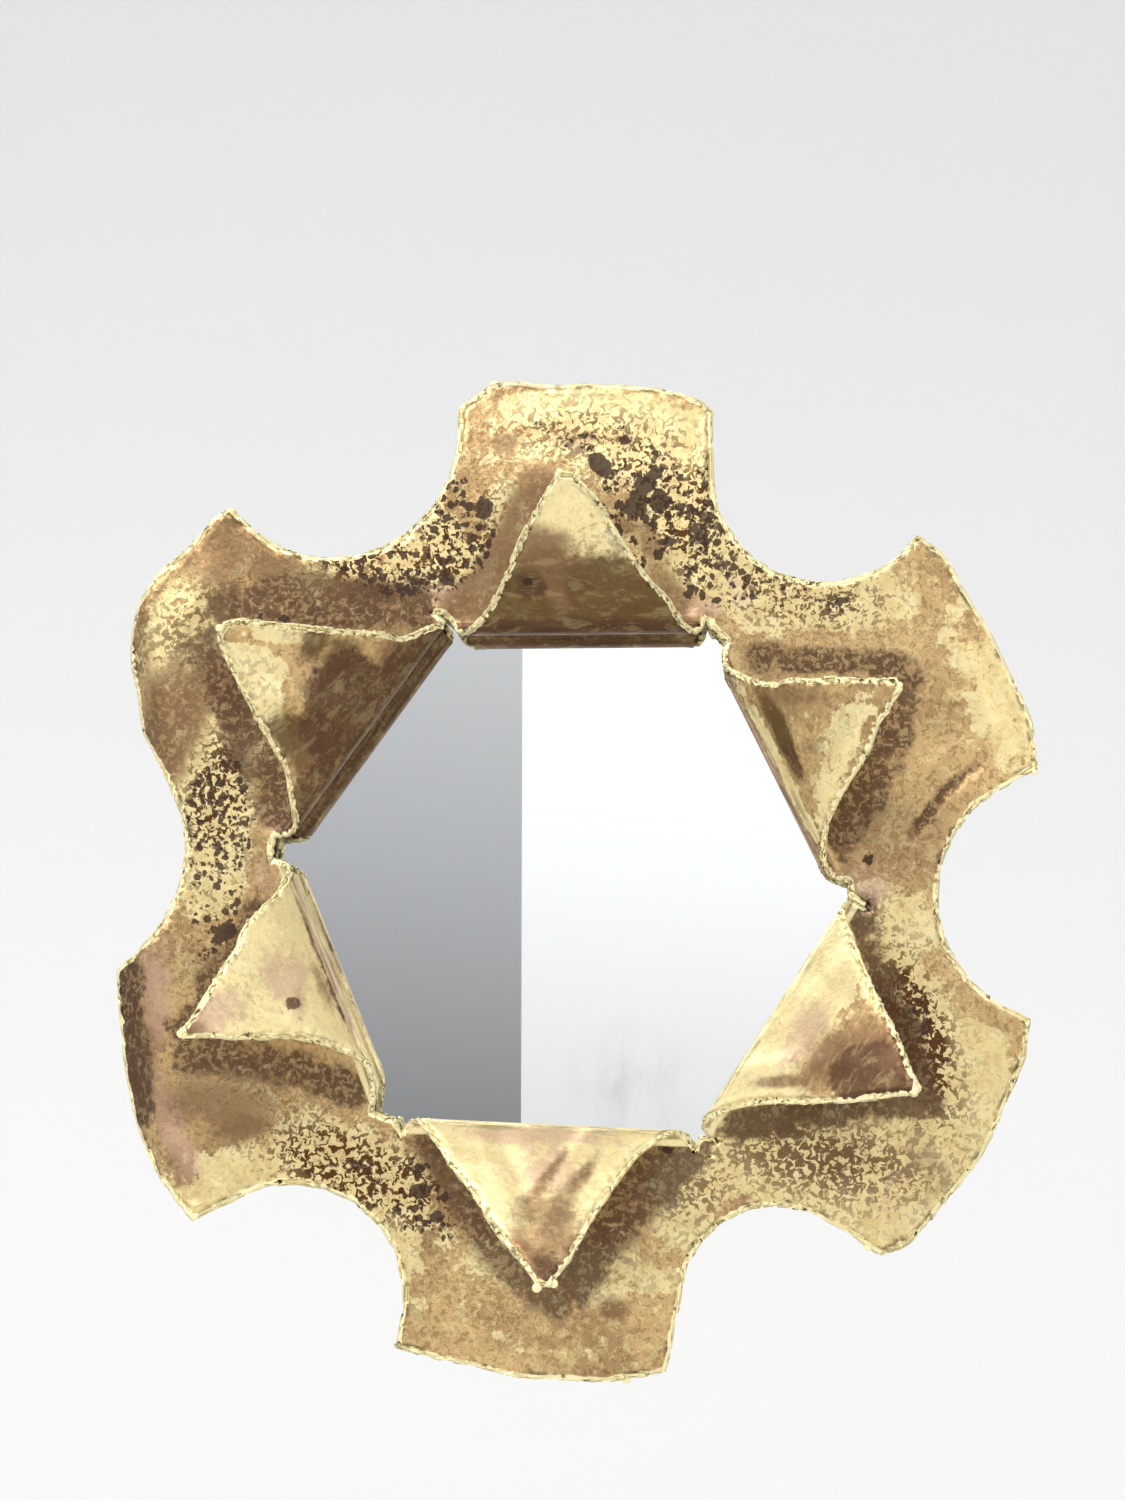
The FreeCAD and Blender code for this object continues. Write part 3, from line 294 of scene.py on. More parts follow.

# Stains on the flat part, by tone, with some painted shade among them: the plum patches beside the
# petals and the brown at the bent-back margins of the left lobes. Place and half sizes in mm, turn
# in degrees, strength.
SHEET_STAINS_AND_SHADE = {
    "dark": (
        (3.7, 133.3, 5.2, 3.6, -45, 1), (18.2, 127.4, 3.4, 3.4, 0, 1), (15.7, 121, 4.8, 3.8, 30, 1),
        (23.8, 122.6, 3.4, 4.4, 0, 1), (21.7, 132.3, 2.6, 2.6, 0, 0.9),
        (10.7, 142.5, 2.2, 2.2, 0, 0.9), (27.4, 109.3, 4.2, 1.9, 0, 0.9),
        (24.8, 104.6, 2.2, 3.2, 0, 0.9), (30.7, 121.3, 2.4, 1.8, 0, 0.9),
        (-33.4, 117.1, 4.6, 5.2, 20, 0.7), (-37.9, 107.2, 3.6, 3.6, 0, 0.8),
        (-43.4, 93, 2.9, 2.9, 0, 0.8), (35.2, 92.8, 2, 2, 0, 1), (39.7, 92.4, 2, 2, 0, 1),
        (98.4, 10.4, 3, 2.6, 0, 0.9), (-107.6, -26.4, 6.4, 3.8, 50, 0.9),
        (-114.9, -32, 3.6, 4.6, 0, 0.6), (-38.2, -105.2, 4.4, 3, 0, 1),
        (-30.4, -106.6, 2.4, 2.4, 0, 0.9), (-32.3, -112.5, 4.6, 3.4, 0, 0.7),
        (40.4, -86.8, 2.8, 2.8, 0, 0.8), (-31.8, 159.8, 3.4, 1.5, 0, 1), (-96, 78, 11, 4, 0, 0.55),
        (-60, 88, 12, 4, 0, 0.6)),
    "brown": (
        (13.9, 113.5, 3.4, 3.4, 0, 0.8), (-27.9, 139.3, 4.6, 4, 0, 0.8),
        (26.5, -138.4, 5.6, 3.8, 0, 0.9), (-97, -88, 11, 4.6, 10, 1), (-120, 98, 13, 16, -40, 0.75),
        (-100, 96, 14, 9, 0, 0.8), (-129, 44, 11, 17, 0, 1.1), (-112, 48, 6, 16, 25, 0.8),
        (-136, -64, 8, 26, 10, 1), (-132, 34, 9, 14, 0, 1.2), (118, 26, 12, 8, 45, 0.45),
        (96, -22, 6, 14, 0, 0.4), (-106, -82, 24, 11, 0, 0.7), (-6, 143, 22, 4.5, 0, 0.45),
        (122, -86, 8, 18, 35, 0.4)),
    "pink": (
        (40, 88, 8, 5, 0, 0.8), (-44, 87, 8, 5, 30, 0.8), (-92, 10, 7, 5, 0, 0.8),
        (100, 2, 12, 9, 0, 0.6), (-129, -48, 5, 18, 4, 1), (-119, -92, 5, 24, 24, 1),
        (122, 22, 16, 5, 45, 0.2), (-96, -8, 5, 8, 0, 0.6), (50, 96, 10, 6, 0, 0.4),
        (112, -98, 7, 9, 0, 0.45)),
    # Painted shade beside the upper right and upper left petals.
    "plum": (
        (84, 74.6, 20, 3.6, 0, 0.8), (-86, 86, 36, 7, 3, 1.2)),
    "pale": (
        (10, -150, 40, 6, 0, 0.2), (126, -76, 20, 32, 28, 0.9), (96, -104, 24, 9, -10, 1),
        (44, 116, 34, 22, -42, 1), (6, 153, 40, 6, 0, 0.7), (34, 136, 8, 22, 5, 0.9),
        (-56, 108, 22, 12, -30, 0.8), (-116, 12, 14, 28, -8, 1), (-112, -14, 14, 10, 0, 0.7),
        (-76, -107, 32, 7, -8, 1.8), (-102, -109, 14, 6, 20, 1.8), (-46, -118, 8, 20, 20, 0.9),
        (82, -92, 34, 9, -8, 0.8), (118, -50, 8, 26, 12, 0.7), (137, -52, 10, 14, 20, 1.2),
        (80, 96, 30, 10, 0, 0.8), (-130, 78, 10, 14, 0, 0.4), (128, 76, 12, 34, 28, 0.45),
        (44, -120, 10, 22, -20, 0.4), (130, -62, 12, 20, 18, 1), (108, -6, 16, 10, 0, 0.6),
        (138, 66, 14, 30, 25, 0.7), (-6, -122, 30, 8, 0, 0.35), (30, -128, 10, 18, 0, 0.3),
        (-122, -112, 14, 10, 30, 0.5), (-132, 64, 9, 10, 0, 0.4)),
    "speck": (
        (44, 112, 26, 22, -40, 1), (20, 118, 16, 26, 0, 1), (-40, 106, 14, 26, 20, 0.9),
        (-66, 98, 22, 12, -20, 0.9), (-112, 10, 14, 30, -10, 0.8), (-104, -24, 18, 14, 30, 0.9),
        (-104, -80, 26, 12, 0, 0.3), (-60, -102, 30, 14, -20, 0.5), (-34, -106, 14, 16, 0, 0.9),
        (108, -40, 8, 26, 24, 0.4), (74, 94, 26, 11, 0, 0.55), (118, -44, 9, 24, 20, 0.6),
        (-4, 144, 24, 8, 0, 0.5), (-110, 78, 12, 14, 0, 0.5)),
    "fleck": (
        (90, -86, 42, 15, -6, 1.1), (114, -46, 15, 36, 22, 1.2), (50, -98, 16, 13, 40, 0.9),
        (-100, -78, 24, 9, 0, 0.5), (-62, -98, 34, 15, -18, 1), (6, -130, 30, 12, 10, 0.6),
        (76, 92, 28, 12, 0, 0.6), (-114, 24, 12, 26, 0, 0.7), (-80, 94, 30, 9, 0, 0.7),
        (102, -14, 10, 18, 10, 0.7), (-2, 142, 36, 16, 0, 0.6), (30, 118, 14, 24, -20, 0.6),
        (-26, 116, 9, 22, 10, 0.6), (-128, 74, 12, 22, -20, 0.8), (-46, 100, 22, 14, -20, 0.6),
        (-106, 92, 18, 6, 0, 0.5)),
}

# Painted shade in brown and plum tones: bands beside the petals where they shade the flat part,
# along the bend of the lower left lobe and in the groove of the upper right lobe. Points in mm,
# half width in mm, tone, strength.
SHADE_BANDS = (
    (((-38.5, 82.9), (-26.1, 98.6), (-15, 125)), 7.5, "brown", 1),
    (((32, 88), (19, 112)), 5, "brown", 0.7), (((60, 74), (102, 73)), 5.5, "plum", 0.95),
    (((106, 65.7), (97.5, 39.4), (87, 13.2)), 9.5, "plum", 1),
    (((96.4, -7.1), (107.7, -33.6), (120.8, -61.6)), 6.5, "plum", 0.95),
    (((121.1, -65.4), (91, -70.6), (62.6, -77.3)), 6.5, "plum", 1),
    (((-38, -84.9), (-21.9, -109.5), (0.5, -133.7)), 8, "plum", 0.95),
    (((46.9, -82.5), (26.1, -107.9), (8.5, -133.2)), 11, "plum", 1),
    (((-117.9, -65.2), (-92.1, -66.7), (-62.8, -73.8)), 8, "plum", 0.95),
    (((-119.9, -58.3), (-108.4, -38.3), (-98, -16)), 5.5, "plum", 0.9),
    (((-117.9, 79.7), (-82.6, 80.5), (-50.7, 82.6)), 7, "plum", 1),
    (((-120.2, 66.7), (-105.7, 42), (-91.1, 14.2)), 9.5, "plum", 1),
    (((-139.5, -42), (-137.5, -62), (-132, -84)), 7, "plum", 1.1),
    (((112.4, 20.3), (120.9, 33), (131.2, 42.7)), 2.6, "plum", 1),
)

# Tones on each petal, partly stains and partly painted light and shade: pale and pink paint the
# highlights along the folds and the brightness of the petals that face up, and plum and olive are
# partly painted shade, in the folds, in the dents and on the faces that look down. By tone:
# unrolled place and half sizes in mm, turn, strength.
PETAL_STAINS_AND_SHADING = {
    "upper_right": {
        "brown": ((30, 14, 14, 4, -25, 0.7), (27, -2, 5, 4, 0, 0.5), (40, 8, 3, 3, 0, 0.6)),
        "pink": ((5, 0, 2.4, 34, 0, 0.9),),
        "plum": ((17, -3, 4, 7, 0, 0.9),),
        "olive": ((18, 8, 4, 16, 0, 1),),
        "pale": (
            (11, -4, 2.4, 32, 0, 0.9), (24, -18, 12, 5, 35, 0.6), (46, -2, 10, 6, 20, 0.5),
            (38, -8, 8, 4, 35, 0.8)),
        "fleck": ((34, -2, 16, 14, 0, 0.35),),
    },
    "top": {
        "dark": ((28, 9, 3.5, 3.5, 0, 0.6),),
        "brown": ((40, 4, 9, 14, -15, 0.9), (24, 0, 9, 4, 10, 0.9)),
        "plum": ((27, 8, 6, 6, 0, 1), (27, -7, 4, 5, 0, 0.9), (5, -4, 8, 50, 0, 2.2)),
        "olive": ((20, -4, 18, 46, 0, 1.3),),
        "pale": (
            (58, -5, 14, 22, 0, 0.9), (46, -3, 8, 18, 0, 0.4), (38, -4, 3.2, 2.6, 0, 0.9),
            (36, -19, 6, 4, -30, 0.5), (12, -8, 1, 30, 0, 0.7), (17, -36, 5, 4, 0, 0.6)),
        "fleck": ((36, -4, 9, 24, 0, 0.9), (17, 18, 9, 14, 0, 0.8)),
    },
    "upper_left": {
        "brown": ((20, 12, 8, 12, 0, 1), (17, -24, 8, 8, 0, 0.9)),
        "pink": ((36, -4, 3, 9, 50, 0.9),),
        "plum": ((6, 0, 11, 50, 0, 2.2), (23, -1, 11, 15, 25, 2.4), (19, -7, 7, 12, 25, 2)),
        "olive": ((36, -12, 16, 12, 0, 0.7), (26, 14, 14, 10, 0, 1)),
        "pale": ((55, 4, 5, 12, -70, 1), (38, 16, 15, 4.6, -22, 1.1), (53, -8, 12, 3.2, 27, 1)),
        "fleck": ((50, 8, 10, 9, -30, 0.7),),
    },
    "lower_left": {
        "brown": ((64, 8, 6, 4, 0, 0.8), (14, 6, 3, 12, 0, 0.6)),
        "pink": ((26, 0, 9, 11, 0, 1), (56, 6, 13, 7, 12, 1), (8, 0, 3.5, 38, 0, 1)),
        "plum": ((28, 9, 2.4, 2, 0, 1.4), (11.2, 0, 0.9, 34, 0, 0.9), (5, 0, 1, 34, 0, 0.8)),
        "pale": ((32, 0, 60, 60, 0, 1.9),),
        "fleck": ((50, 2, 18, 9, 0, 0.4),),
    },
    "bottom": {
        "brown": (
            (34, 2, 17, 2.2, -25, 0.9), (32, 13, 12, 2.6, -25, 0.8), (60, 5, 12, 14, 0, 1),
            (46, 4, 9, 12, 0, 0.8)),
        "pink": ((14, -2, 5, 26, 0, 0.9), (30, 2, 13, 11, 0, 0.9)),
        "plum": ((66, 5, 7, 6, 0, 0.8),),
        "pale": ((14, 0, 30, 80, 0, 1.8), (30, -15, 14, 4, 40, 0.9), (34, 22, 17, 2.6, -27, 1)),
        "fleck": ((52, 6, 14, 16, 0, 0.6),),
    },
    "lower_right": {
        "brown": ((56, 3, 15, 14, 0, 1.1), (34, -17, 15, 2.2, 25, 0.9), (44, -6, 13, 12, 0, 0.8)),
        "pink": ((28, 0, 9, 13, 0, 0.9),),
        "plum": ((62, -4, 14, 12, 0, 2.2),),
        "olive": ((60, -2, 15, 12, 0, 1.4),),
        "pale": (
            (12, 0, 22, 80, 0, 1.8), (24, 26, 16, 7, -30, 1), (28, -26, 17, 4.4, 24, 1),
            (14, 2, 13, 34, 0, 1.6), (48, 17, 8, 2.2, -25, 0.9), (52, -15, 16, 1.8, 24, 0.8)),
    },
}

TONES = ("dark", "brown", "pink", "plum", "olive", "pale", "speck", "fleck")

# Further fields: distance from the cut, nearness to a fold, 1 on a petal, place when unrolled.
MARKS = ("gap", "fold", "petal", "along", "across")

# Distance from the cut, in mm, at which the gap field reaches 1.
GAP_REACH = 10.0

# A patch of a tone, stains and painted light and shade alike, starts to fade and is gone at these
# shares of its half sizes. It isn't looked for further off than this share of their sum.
PATCH_FADE = (0.25, 1.65)
PATCH_REACH = 2.6

# A band fades between these shares of its half width. It clears away this share of the dark
# specks, fully and no more at these shares of its half width.
BAND_FADE = (0.2, 1.7)
BAND_CLEARS = 0.6
CLEAR_FADE = (0.3, 1.1)

# How far the torch wandered from its line, in mm, on the petals and on the flat part.
PETAL_WANDER = 0.22
FLAT_WANDER = 0.42

# How far apart the layers of noise lie that two seeds read, in sizes of a wave.
SEED_GAP = 7.3

# Waves of the torch's wander, of the sheet's ripple and of the melted edge: size in mm, share
# and seed.
WANDER_WAVES = (((7, 1, 1), (3, 0.35, 2)), ((7, 1, 3), (3, 0.35, 4)))
PETAL_WAVES = ((26, 1.3, 11), (9, 0.35, 12))
FLAT_WAVES = ((42, 1.1, 21), (13, 0.45, 22))
EDGE_WAVES = ((8, 0.15, 5),)

# Stretches in mm over which a mark comes or goes: the first two from the cut, the next three
# from a petal's fold, the last from the opening's middle.
WANDER_FADE = (2, 5)
BEAD_FADE = (1.3, 2.8)
FOLD_FADE = (9, 15)
PETAL_CALM = (8, 24)
CREASE_CALM = (6, 16)
OPENING_CALM = (82, 100)

# A petal's tip curls forward: length of the stretch that does so, and height of the curl, in mm.
TIP_CURL = (10, 0.9)

# How sharply a crease falls off on a petal and on the flat part, and the share of its height
# by which a lump shows on each face.
PETAL_CREASE_POWER = 1.5
FLAT_CREASE_POWER = 1.4
LUMP_SHARE = 0.55

# Thickness where the rim's first row ends, and that of the whole shell, in melted edges.
LIP_SHARE = 0.9
SHELL_SHARE = 1.5

# Beads of melt: lift off the sheet's middle in mm, turn from one to the next in radians, its
# axis, proportions, and share of the shell's thickness, so small that it doesn't swell them.
BEAD_LIFT = 0.3
BEAD_TURN = 0.7
BEAD_AXIS = (1, 1, 0.4)
BEAD_SHAPE = (1.0, 0.82, 1.12, 1.0)
BEAD_GAUGE = 0.02

# Points of a smooth edge to each stretch between given ones: on petals and on lobes.
PETAL_STEPS = 2
LOBE_STEPS = 3

# How far beside its edge a place still counts as on a petal.
PETAL_SLACK = 0.35 * MM

# Share of its root corner's shift that the next point of a petal's edge follows.
ROOT_EASE = 0.35

# A scallop's half arc: degrees between its points, about how far it turns, and the room that it
# leaves at a lobe's corner.
SCALLOP_STEP = 6
SCALLOP_TURN = 62
CORNER_ROOM = 2.0 * MM

# Where the close rows of cells end, in fold radii, how far rows and columns reach, and how near
# to a corner a cut goes through it.
CLOSE_ROWS = 2.6
ROW_REACH = 168 * MM
COLUMN_REACH = 66 * MM
CUT_SNAP = 0.02 * MM

# Cosine of the widest angle between a place and the middle line of the lobe that it bends with.
LOBE_SPREAD = 0.84


def smoothstep(low, high, value):
    share = min(1.0, max(0.0, (value - low) / (high - low)))
    return share * share * (3.0 - 2.0 * share)


def fade(stretch, value):
    """Smooth rise from 0 to 1 over a stretch given in mm."""
    low, high = stretch
    return smoothstep(low * MM, high * MM, value)


def smooth_curve(points, steps):
    """Catmull-Rom points through given ones, with steps points to each stretch."""
    points = [Vector(point) for point in points]
    ends = [2 * points[0] - points[1], *points, 2 * points[-1] - points[-2]]
    curve = []
    for a, b, c, d in zip(ends, ends[1:], ends[2:], ends[3:]):
        for step in range(steps):
            t = step / steps
            curve.append(0.5 * (2 * b + (c - a) * t + (2 * a - 5 * b + 4 * c - d) * t * t
                                + (3 * b - a - 3 * c + d) * t ** 3))
    return curve + [points[-1]]


def distance_to_path(point, path):
    """Distance from a point to a run of straight stretches."""
    best = None
    for start, end in zip(path, path[1:]):
        along = end - start
        share = (point - start).dot(along) / max(along.length_squared, HAIR ** 2)
        gap = (point - start - along * min(1.0, max(0.0, share))).length
        best = gap if best is None else min(best, gap)
    return best


class Petal:
    """One petal's fold line, unrolled outline and rolled section."""

    def __init__(self, name, sizes):
        azimuth, share, turn = FOLDS[name]
        number = list(FOLDS).index(name)
        self.name = name
        self.out = direction(azimuth)
        self.side = direction(azimuth + 90)
        self.rho = sizes.fold_radius
        self.blade = sizes.blade_radius
        self.reach = sizes.apothem * share + self.rho
        self.turn = math.radians(turn)
        first, second = PETAL_EDGES[name]
        self.first = self.edge_from(first, SLIT_ENDS[(number + 1) % LOBES], sizes.root_reach)
        self.second = self.edge_from(second, SLIT_ENDS[number], sizes.root_reach)
        self.length = max(self.first[-1].x, self.second[-1].x)

    def edge_from(self, points, slit, reach):
        """Smooth edge whose root corner lies part of the way out to the slit's end."""
        points = [Vector(point) * MM for point in points]
        end = self.local(at(slit[0] * MM, slit[1]))[1]
        points[0].y += reach * (end - points[0].y)
        points[1].y += ROOT_EASE * reach * (end - points[1].y)
        return smooth_curve(points, PETAL_STEPS)

    def flat(self, along, across):
        """Place in the sheet's plane of a point of the petal before it is rolled."""
        return self.out * (self.reach - along) + self.side * across

    def local(self, point):
        """Distance along the petal from its fold's start, and sideways, of a place in the plane."""
        return self.reach - point.dot(self.out), point.dot(self.side)

    def edge(self, curve, along):
        """How far sideways an edge lies at a distance along the petal."""
        for start, end in zip(curve, curve[1:]):
            if along <= end.x:
                share = (along - start.x) / max(end.x - start.x, HAIR)
                return start.y + (end.y - start.y) * max(0.0, share)
        return curve[-1].y

    def holds(self, along, across, slack):
        """Whether a place is on the petal, or beside it by no more than the slack."""
        if along <= HAIR or along > self.length + 3 * slack:
            return False
        low, high = self.edge(self.second, along), self.edge(self.first, along)
        return low - slack <= across <= high + slack

    def section(self, along):
        """Distance from the middle and height in front of the sheet, with the outward normal."""
        rolled = self.rho * self.turn
        if along <= rolled:
            angle = along / self.rho
            out = self.reach - self.rho * math.sin(angle)
            up = self.rho * (1 - math.cos(angle))
            return out, up, (-math.sin(angle), -math.cos(angle))
        slope = math.pi - self.turn
        angle = (along - rolled) / self.blade
        out = self.reach - self.rho * math.sin(self.turn)
        up = self.rho * (1 - math.cos(self.turn))
        out += self.blade * (math.sin(slope) - math.sin(slope - angle))
        up += self.blade * (math.cos(slope - angle) - math.cos(slope))
        return out, up, (-math.sin(slope - angle), math.cos(slope - angle))

    def place(self, along, across, lift, middle):
        """Where a place of the unrolled petal is once rolled, lifted off the sheet's middle."""
        out, up, normal = self.section(along)
        spot = self.out * (out + normal[0] * lift) + self.side * across
        return Vector((spot.x, middle - up - normal[1] * lift, spot.y))


def arc_points(centre, radius, start, end, step):
    count = max(2, round(abs(end - start) / step))
    return [centre + at(radius, start + (end - start) * number / count)
            for number in range(count + 1)]


def touch_azimuth(centre, radius, corner, side):
    """Where a straight line from a lobe's corner touches a scallop, as an azimuth round it."""
    away = corner - centre
    turn = math.degrees(math.acos(min(1.0, radius / away.length)))
    return math.degrees(math.atan2(away.y, away.x)) + side * turn


def seam_place(number):
    """Where the line from a slit's end through the scallop meets the scallop's edge."""
    distance, azimuth, radius = SCALLOPS[number]
    return at((distance - radius) * MM, azimuth)


def half_scallop(number, corner, side):
    """Edge of a scallop from its innermost place to the straight that leads to a corner."""
    distance, azimuth, radius = SCALLOPS[number]
    centre = at(distance * MM, azimuth)
    start = azimuth + 180
    end = touch_azimuth(centre, radius * MM, corner, side)
    end += 360 * round((start - SCALLOP_TURN * side - end) / 360)
    return [place for place in arc_points(centre, radius * MM, start, end, SCALLOP_STEP)[1:]
            if (place - corner).length > CORNER_ROOM]


def sixth_outline(name, number, petal):
    """Outline of one lobe and of its petal unrolled, as places in the plane."""
    corners = [at(reach * MM, azimuth) for azimuth, reach in LOBE_EDGES[name]]
    edge = smooth_curve(corners, LOBE_STEPS)
    before = half_scallop(number, edge[0], 1)
    after = half_scallop((number + 1) % LOBES, edge[-1], -1)
    loop = [petal.flat(*point) for point in petal.first]
    loop += [petal.flat(*point) for point in reversed(petal.second)]
    return before + edge + after[::-1], loop


def blank_mesh(sizes, petals):
    """The flat torch-cut blank: six joined outlines, cut into cells along each fold."""
    mesh = bmesh.new()

    def corner(place):
        return mesh.verts.new((place.x, 0.0, place.y))

    slits = [corner(at(reach * MM, azimuth)) for reach, azimuth in SLIT_ENDS]
    seams = [corner(seam_place(number)) for number in range(LOBES)]
    sector = mesh.faces.layers.int.new("sector")
    for number, (name, petal) in enumerate(petals.items()):
        outline, loop = sixth_outline(name, number, petal)
        after = (number + 1) % LOBES
        ring = [slits[number], seams[number], *map(corner, outline), seams[after], slits[after],
                *map(corner, loop)]
        face = mesh.faces.new(ring)
        face[sector] = number + 1
    mesh.normal_update()
    for thickness in RIM_ROWS:
        bmesh.ops.inset_region(mesh, faces=mesh.faces[:], use_boundary=True,
                               use_even_offset=True, thickness=thickness)
    for number, petal in enumerate(petals.values()):
        cut_cells(mesh, [face for face in mesh.faces if face[sector] == number + 1], petal, sizes)
    big = [face for face in mesh.faces if len(face.verts) > 4]
    bmesh.ops.triangulate(mesh, faces=big)
    return mesh


def cut_cells(mesh, faces, petal, sizes):
    """Rows along the fold and columns across it, closer together where the sheet is rolled."""
    rows = [0.0]
    while rows[-1] < petal.length:
        step = sizes.fold_cell if rows[-1] < CLOSE_ROWS * petal.rho else sizes.cell
        rows.append(rows[-1] + step)
    rows.append(-sizes.fold_cell)
    while petal.reach - rows[-1] < ROW_REACH:
        rows.append(rows[-1] - sizes.cell)
    half = int(COLUMN_REACH / sizes.cell)
    geometry = set(faces)
    for face in faces:
        geometry.update(face.verts)
        geometry.update(face.edges)
    geometry = list(geometry)
    out, side = (Vector((way.x, 0.0, way.y)) for way in (petal.out, petal.side))
    planes = [(out * (petal.reach - row), out) for row in rows]
    planes += [(side * (sizes.cell * number), side) for number in range(-half, half + 1)]
    for place, normal in planes:
        cut = bmesh.ops.bisect_plane(mesh, geom=geometry, dist=CUT_SNAP, plane_co=place,
                                     plane_no=normal)
        geometry = cut["geom"]


def bent_height(point, sizes):
    """How far the lobes' bends carry a place of the flat part back towards the wall."""
    back = 0.0
    for name, (azimuth, share, angle) in LOBE_BENDS.items():
        sharp = name in CREASED
        start = (sizes.crease_distance if sharp else sizes.bend_distance) * share
        radius = sizes.crease_radius if sharp else sizes.bend_radius
        beyond = point.dot(direction(azimuth)) - start
        centre = direction(SECTOR * (list(LOBE_BENDS).index(name) + 0.5))
        if beyond <= 0 or point.normalized().dot(centre) < LOBE_SPREAD:
            continue
        bend = math.radians(angle)
        if beyond < radius * math.sin(bend):
            back += radius - math.sqrt(radius ** 2 - beyond ** 2)
        else:
            back += radius * (1 - math.cos(bend))
            back += (beyond - radius * math.sin(bend)) * math.tan(bend)
    return back


def noise_at(point, scale, seed):
    """Smooth noise from -1 to 1 at a place in the plane, with features of the scale's size."""
    return noise.noise(Vector((point.x / scale, seed * SEED_GAP, point.y / scale)))


def waves(point, rows):
    """Sum of a few waves of noise at a place, from their sizes, shares and seeds."""
    return sum(share * noise_at(point, size * MM, seed) for size, share, seed in rows)


def patch_share(point, x, y, half_x, half_y, turn):
    """How much of one patch of a tone shows at a place, from 0 to 1."""
    away = point - Vector((x, y)) * MM
    if abs(away.x) + abs(away.y) > PATCH_REACH * (half_x + half_y) * MM:
        return 0.0
    angle = math.radians(turn)
    along = (away.x * math.cos(angle) + away.y * math.sin(angle)) / (half_x * MM)
    across = (away.y * math.cos(angle) - away.x * math.sin(angle)) / (half_y * MM)
    return 1.0 - smoothstep(*PATCH_FADE, math.hypot(along, across))


def patch_strength(point, stains):
    """Strength of each tone at a place, from patches listed by tone: stains, and painted light and
    shade.
    """
    found = dict.fromkeys(TONES, 0.0)
    for tone, rows in stains.items():
        for *stain, strength in rows:
            found[tone] = max(found[tone], strength * patch_share(point, *stain))
    return found


class CutEdge:
    """Finds how far a place of the flat blank lies from the nearest cut."""

    # How many of the nearest corners of the cut are tried.
    tries = 3

    def __init__(self, mesh):
        self.verts = [vert for vert in mesh.verts if vert.is_boundary]
        self.tree = kdtree.KDTree(len(self.verts))
        for number, vert in enumerate(self.verts):
            self.tree.insert(vert.co, number)
        self.tree.balance()

    def distance(self, place):
        nearest = self.tree.find_n(place, self.tries)
        best = nearest[0][2]
        for _, number, gap in nearest:
            for edge in self.verts[number].link_edges:
                if edge.is_boundary:
                    best = min(best, distance_to_path(place, [vert.co for vert in edge.verts]))
        return best


def form_sheet(mesh, sizes, petals):
    """Roll the petals, bend the lobes, and note the marks on each place: what the torch did, and
    the painted light and shade.
    """
    middle = SHEET_BACK - sizes.gauge / 2
    gauge = mesh.verts.layers.deform.verify()
    fields = {name: mesh.verts.layers.float.new(name) for name in (*TONES, *MARKS)}
    cut_edge = CutEdge(mesh)
    bands = [([Vector(point) * MM for point in path], width * MM, tone, strength)
             for path, width, tone, strength in SHADE_BANDS]
    creases = [([Vector(point) * MM for point in path], depth * MM, width * MM)
               for path, depth, width in SHEET_CREASES]
    places = {}
    for vert in mesh.verts:
        point = Vector((vert.co.x, vert.co.z))
        gap = cut_edge.distance(vert.co)
        home = next((petal for petal in petals.values()
                     if petal.holds(*petal.local(point), PETAL_SLACK)), None)
        ragged = (PETAL_WANDER if home else FLAT_WANDER) * MM * (1.0 - fade(WANDER_FADE, gap))
        shift = Vector([waves(point, rows) for rows in WANDER_WAVES]) * ragged
        if home:
            places[vert] = on_petal(vert, home, point, shift, fields, middle, sizes)
        else:
            places[vert] = on_flat(vert, point, shift, fields, middle, sizes, bands, creases)
        vert[fields["gap"]] = min(1.0, gap / (GAP_REACH * MM))
        bead = sizes.bead_gauge * (1.0 + waves(point, EDGE_WAVES))
        thick = sizes.gauge + (bead - sizes.gauge) * (1.0 - fade(BEAD_FADE, gap))
        # Straight steps between the rim's rows, so that places cut between rows don't stand out.
        if gap < RIM_ROWS[0]:
            thick = sizes.lip_gauge + (LIP_SHARE * bead - sizes.lip_gauge) * gap / RIM_ROWS[0]
        elif gap < sum(RIM_ROWS):
            thick = bead * (LIP_SHARE + (1.0 - LIP_SHARE) * (gap - RIM_ROWS[0]) / RIM_ROWS[1])
        vert[gauge][0] = min(1.0, thick / (SHELL_SHARE * sizes.bead_gauge))
    for vert, place in places.items():
        vert.co = place


def on_petal(vert, petal, point, shift, fields, middle, sizes):
    """Note the marks on a place of a petal, and return where it is once rolled."""
    along, across = petal.local(point)
    across += shift.dot(petal.side)
    along = max(HAIR, along - shift.dot(petal.out))
    vert[fields["petal"]] = 1.0
    vert[fields["along"]] = along
    vert[fields["across"]] = across
    vert[fields["fold"]] = 1.0 - fade(FOLD_FADE, along)
    lift = fade(PETAL_CALM, along) * sizes.ripple * waves(point, PETAL_WAVES)
    flat = Vector((along, across))
    for name, start, end, depth, width in PETAL_CREASES:
        if name == petal.name:
            gap = distance_to_path(flat, (Vector(start) * MM, Vector(end) * MM))
            sharp = max(0.0, 1.0 - gap / (width * MM)) ** PETAL_CREASE_POWER
            lift += depth * MM * sharp * fade(CREASE_CALM, along)
    stretch, height = TIP_CURL
    lift += smoothstep(petal.length - stretch * MM, petal.length, along) * height * MM
    # Petal tones, partly painted highlights and shade.
    for tone, strength in patch_strength(flat, PETAL_STAINS_AND_SHADING[petal.name]).items():
        vert[fields[tone]] = strength
    return petal.place(along, across, lift, middle)


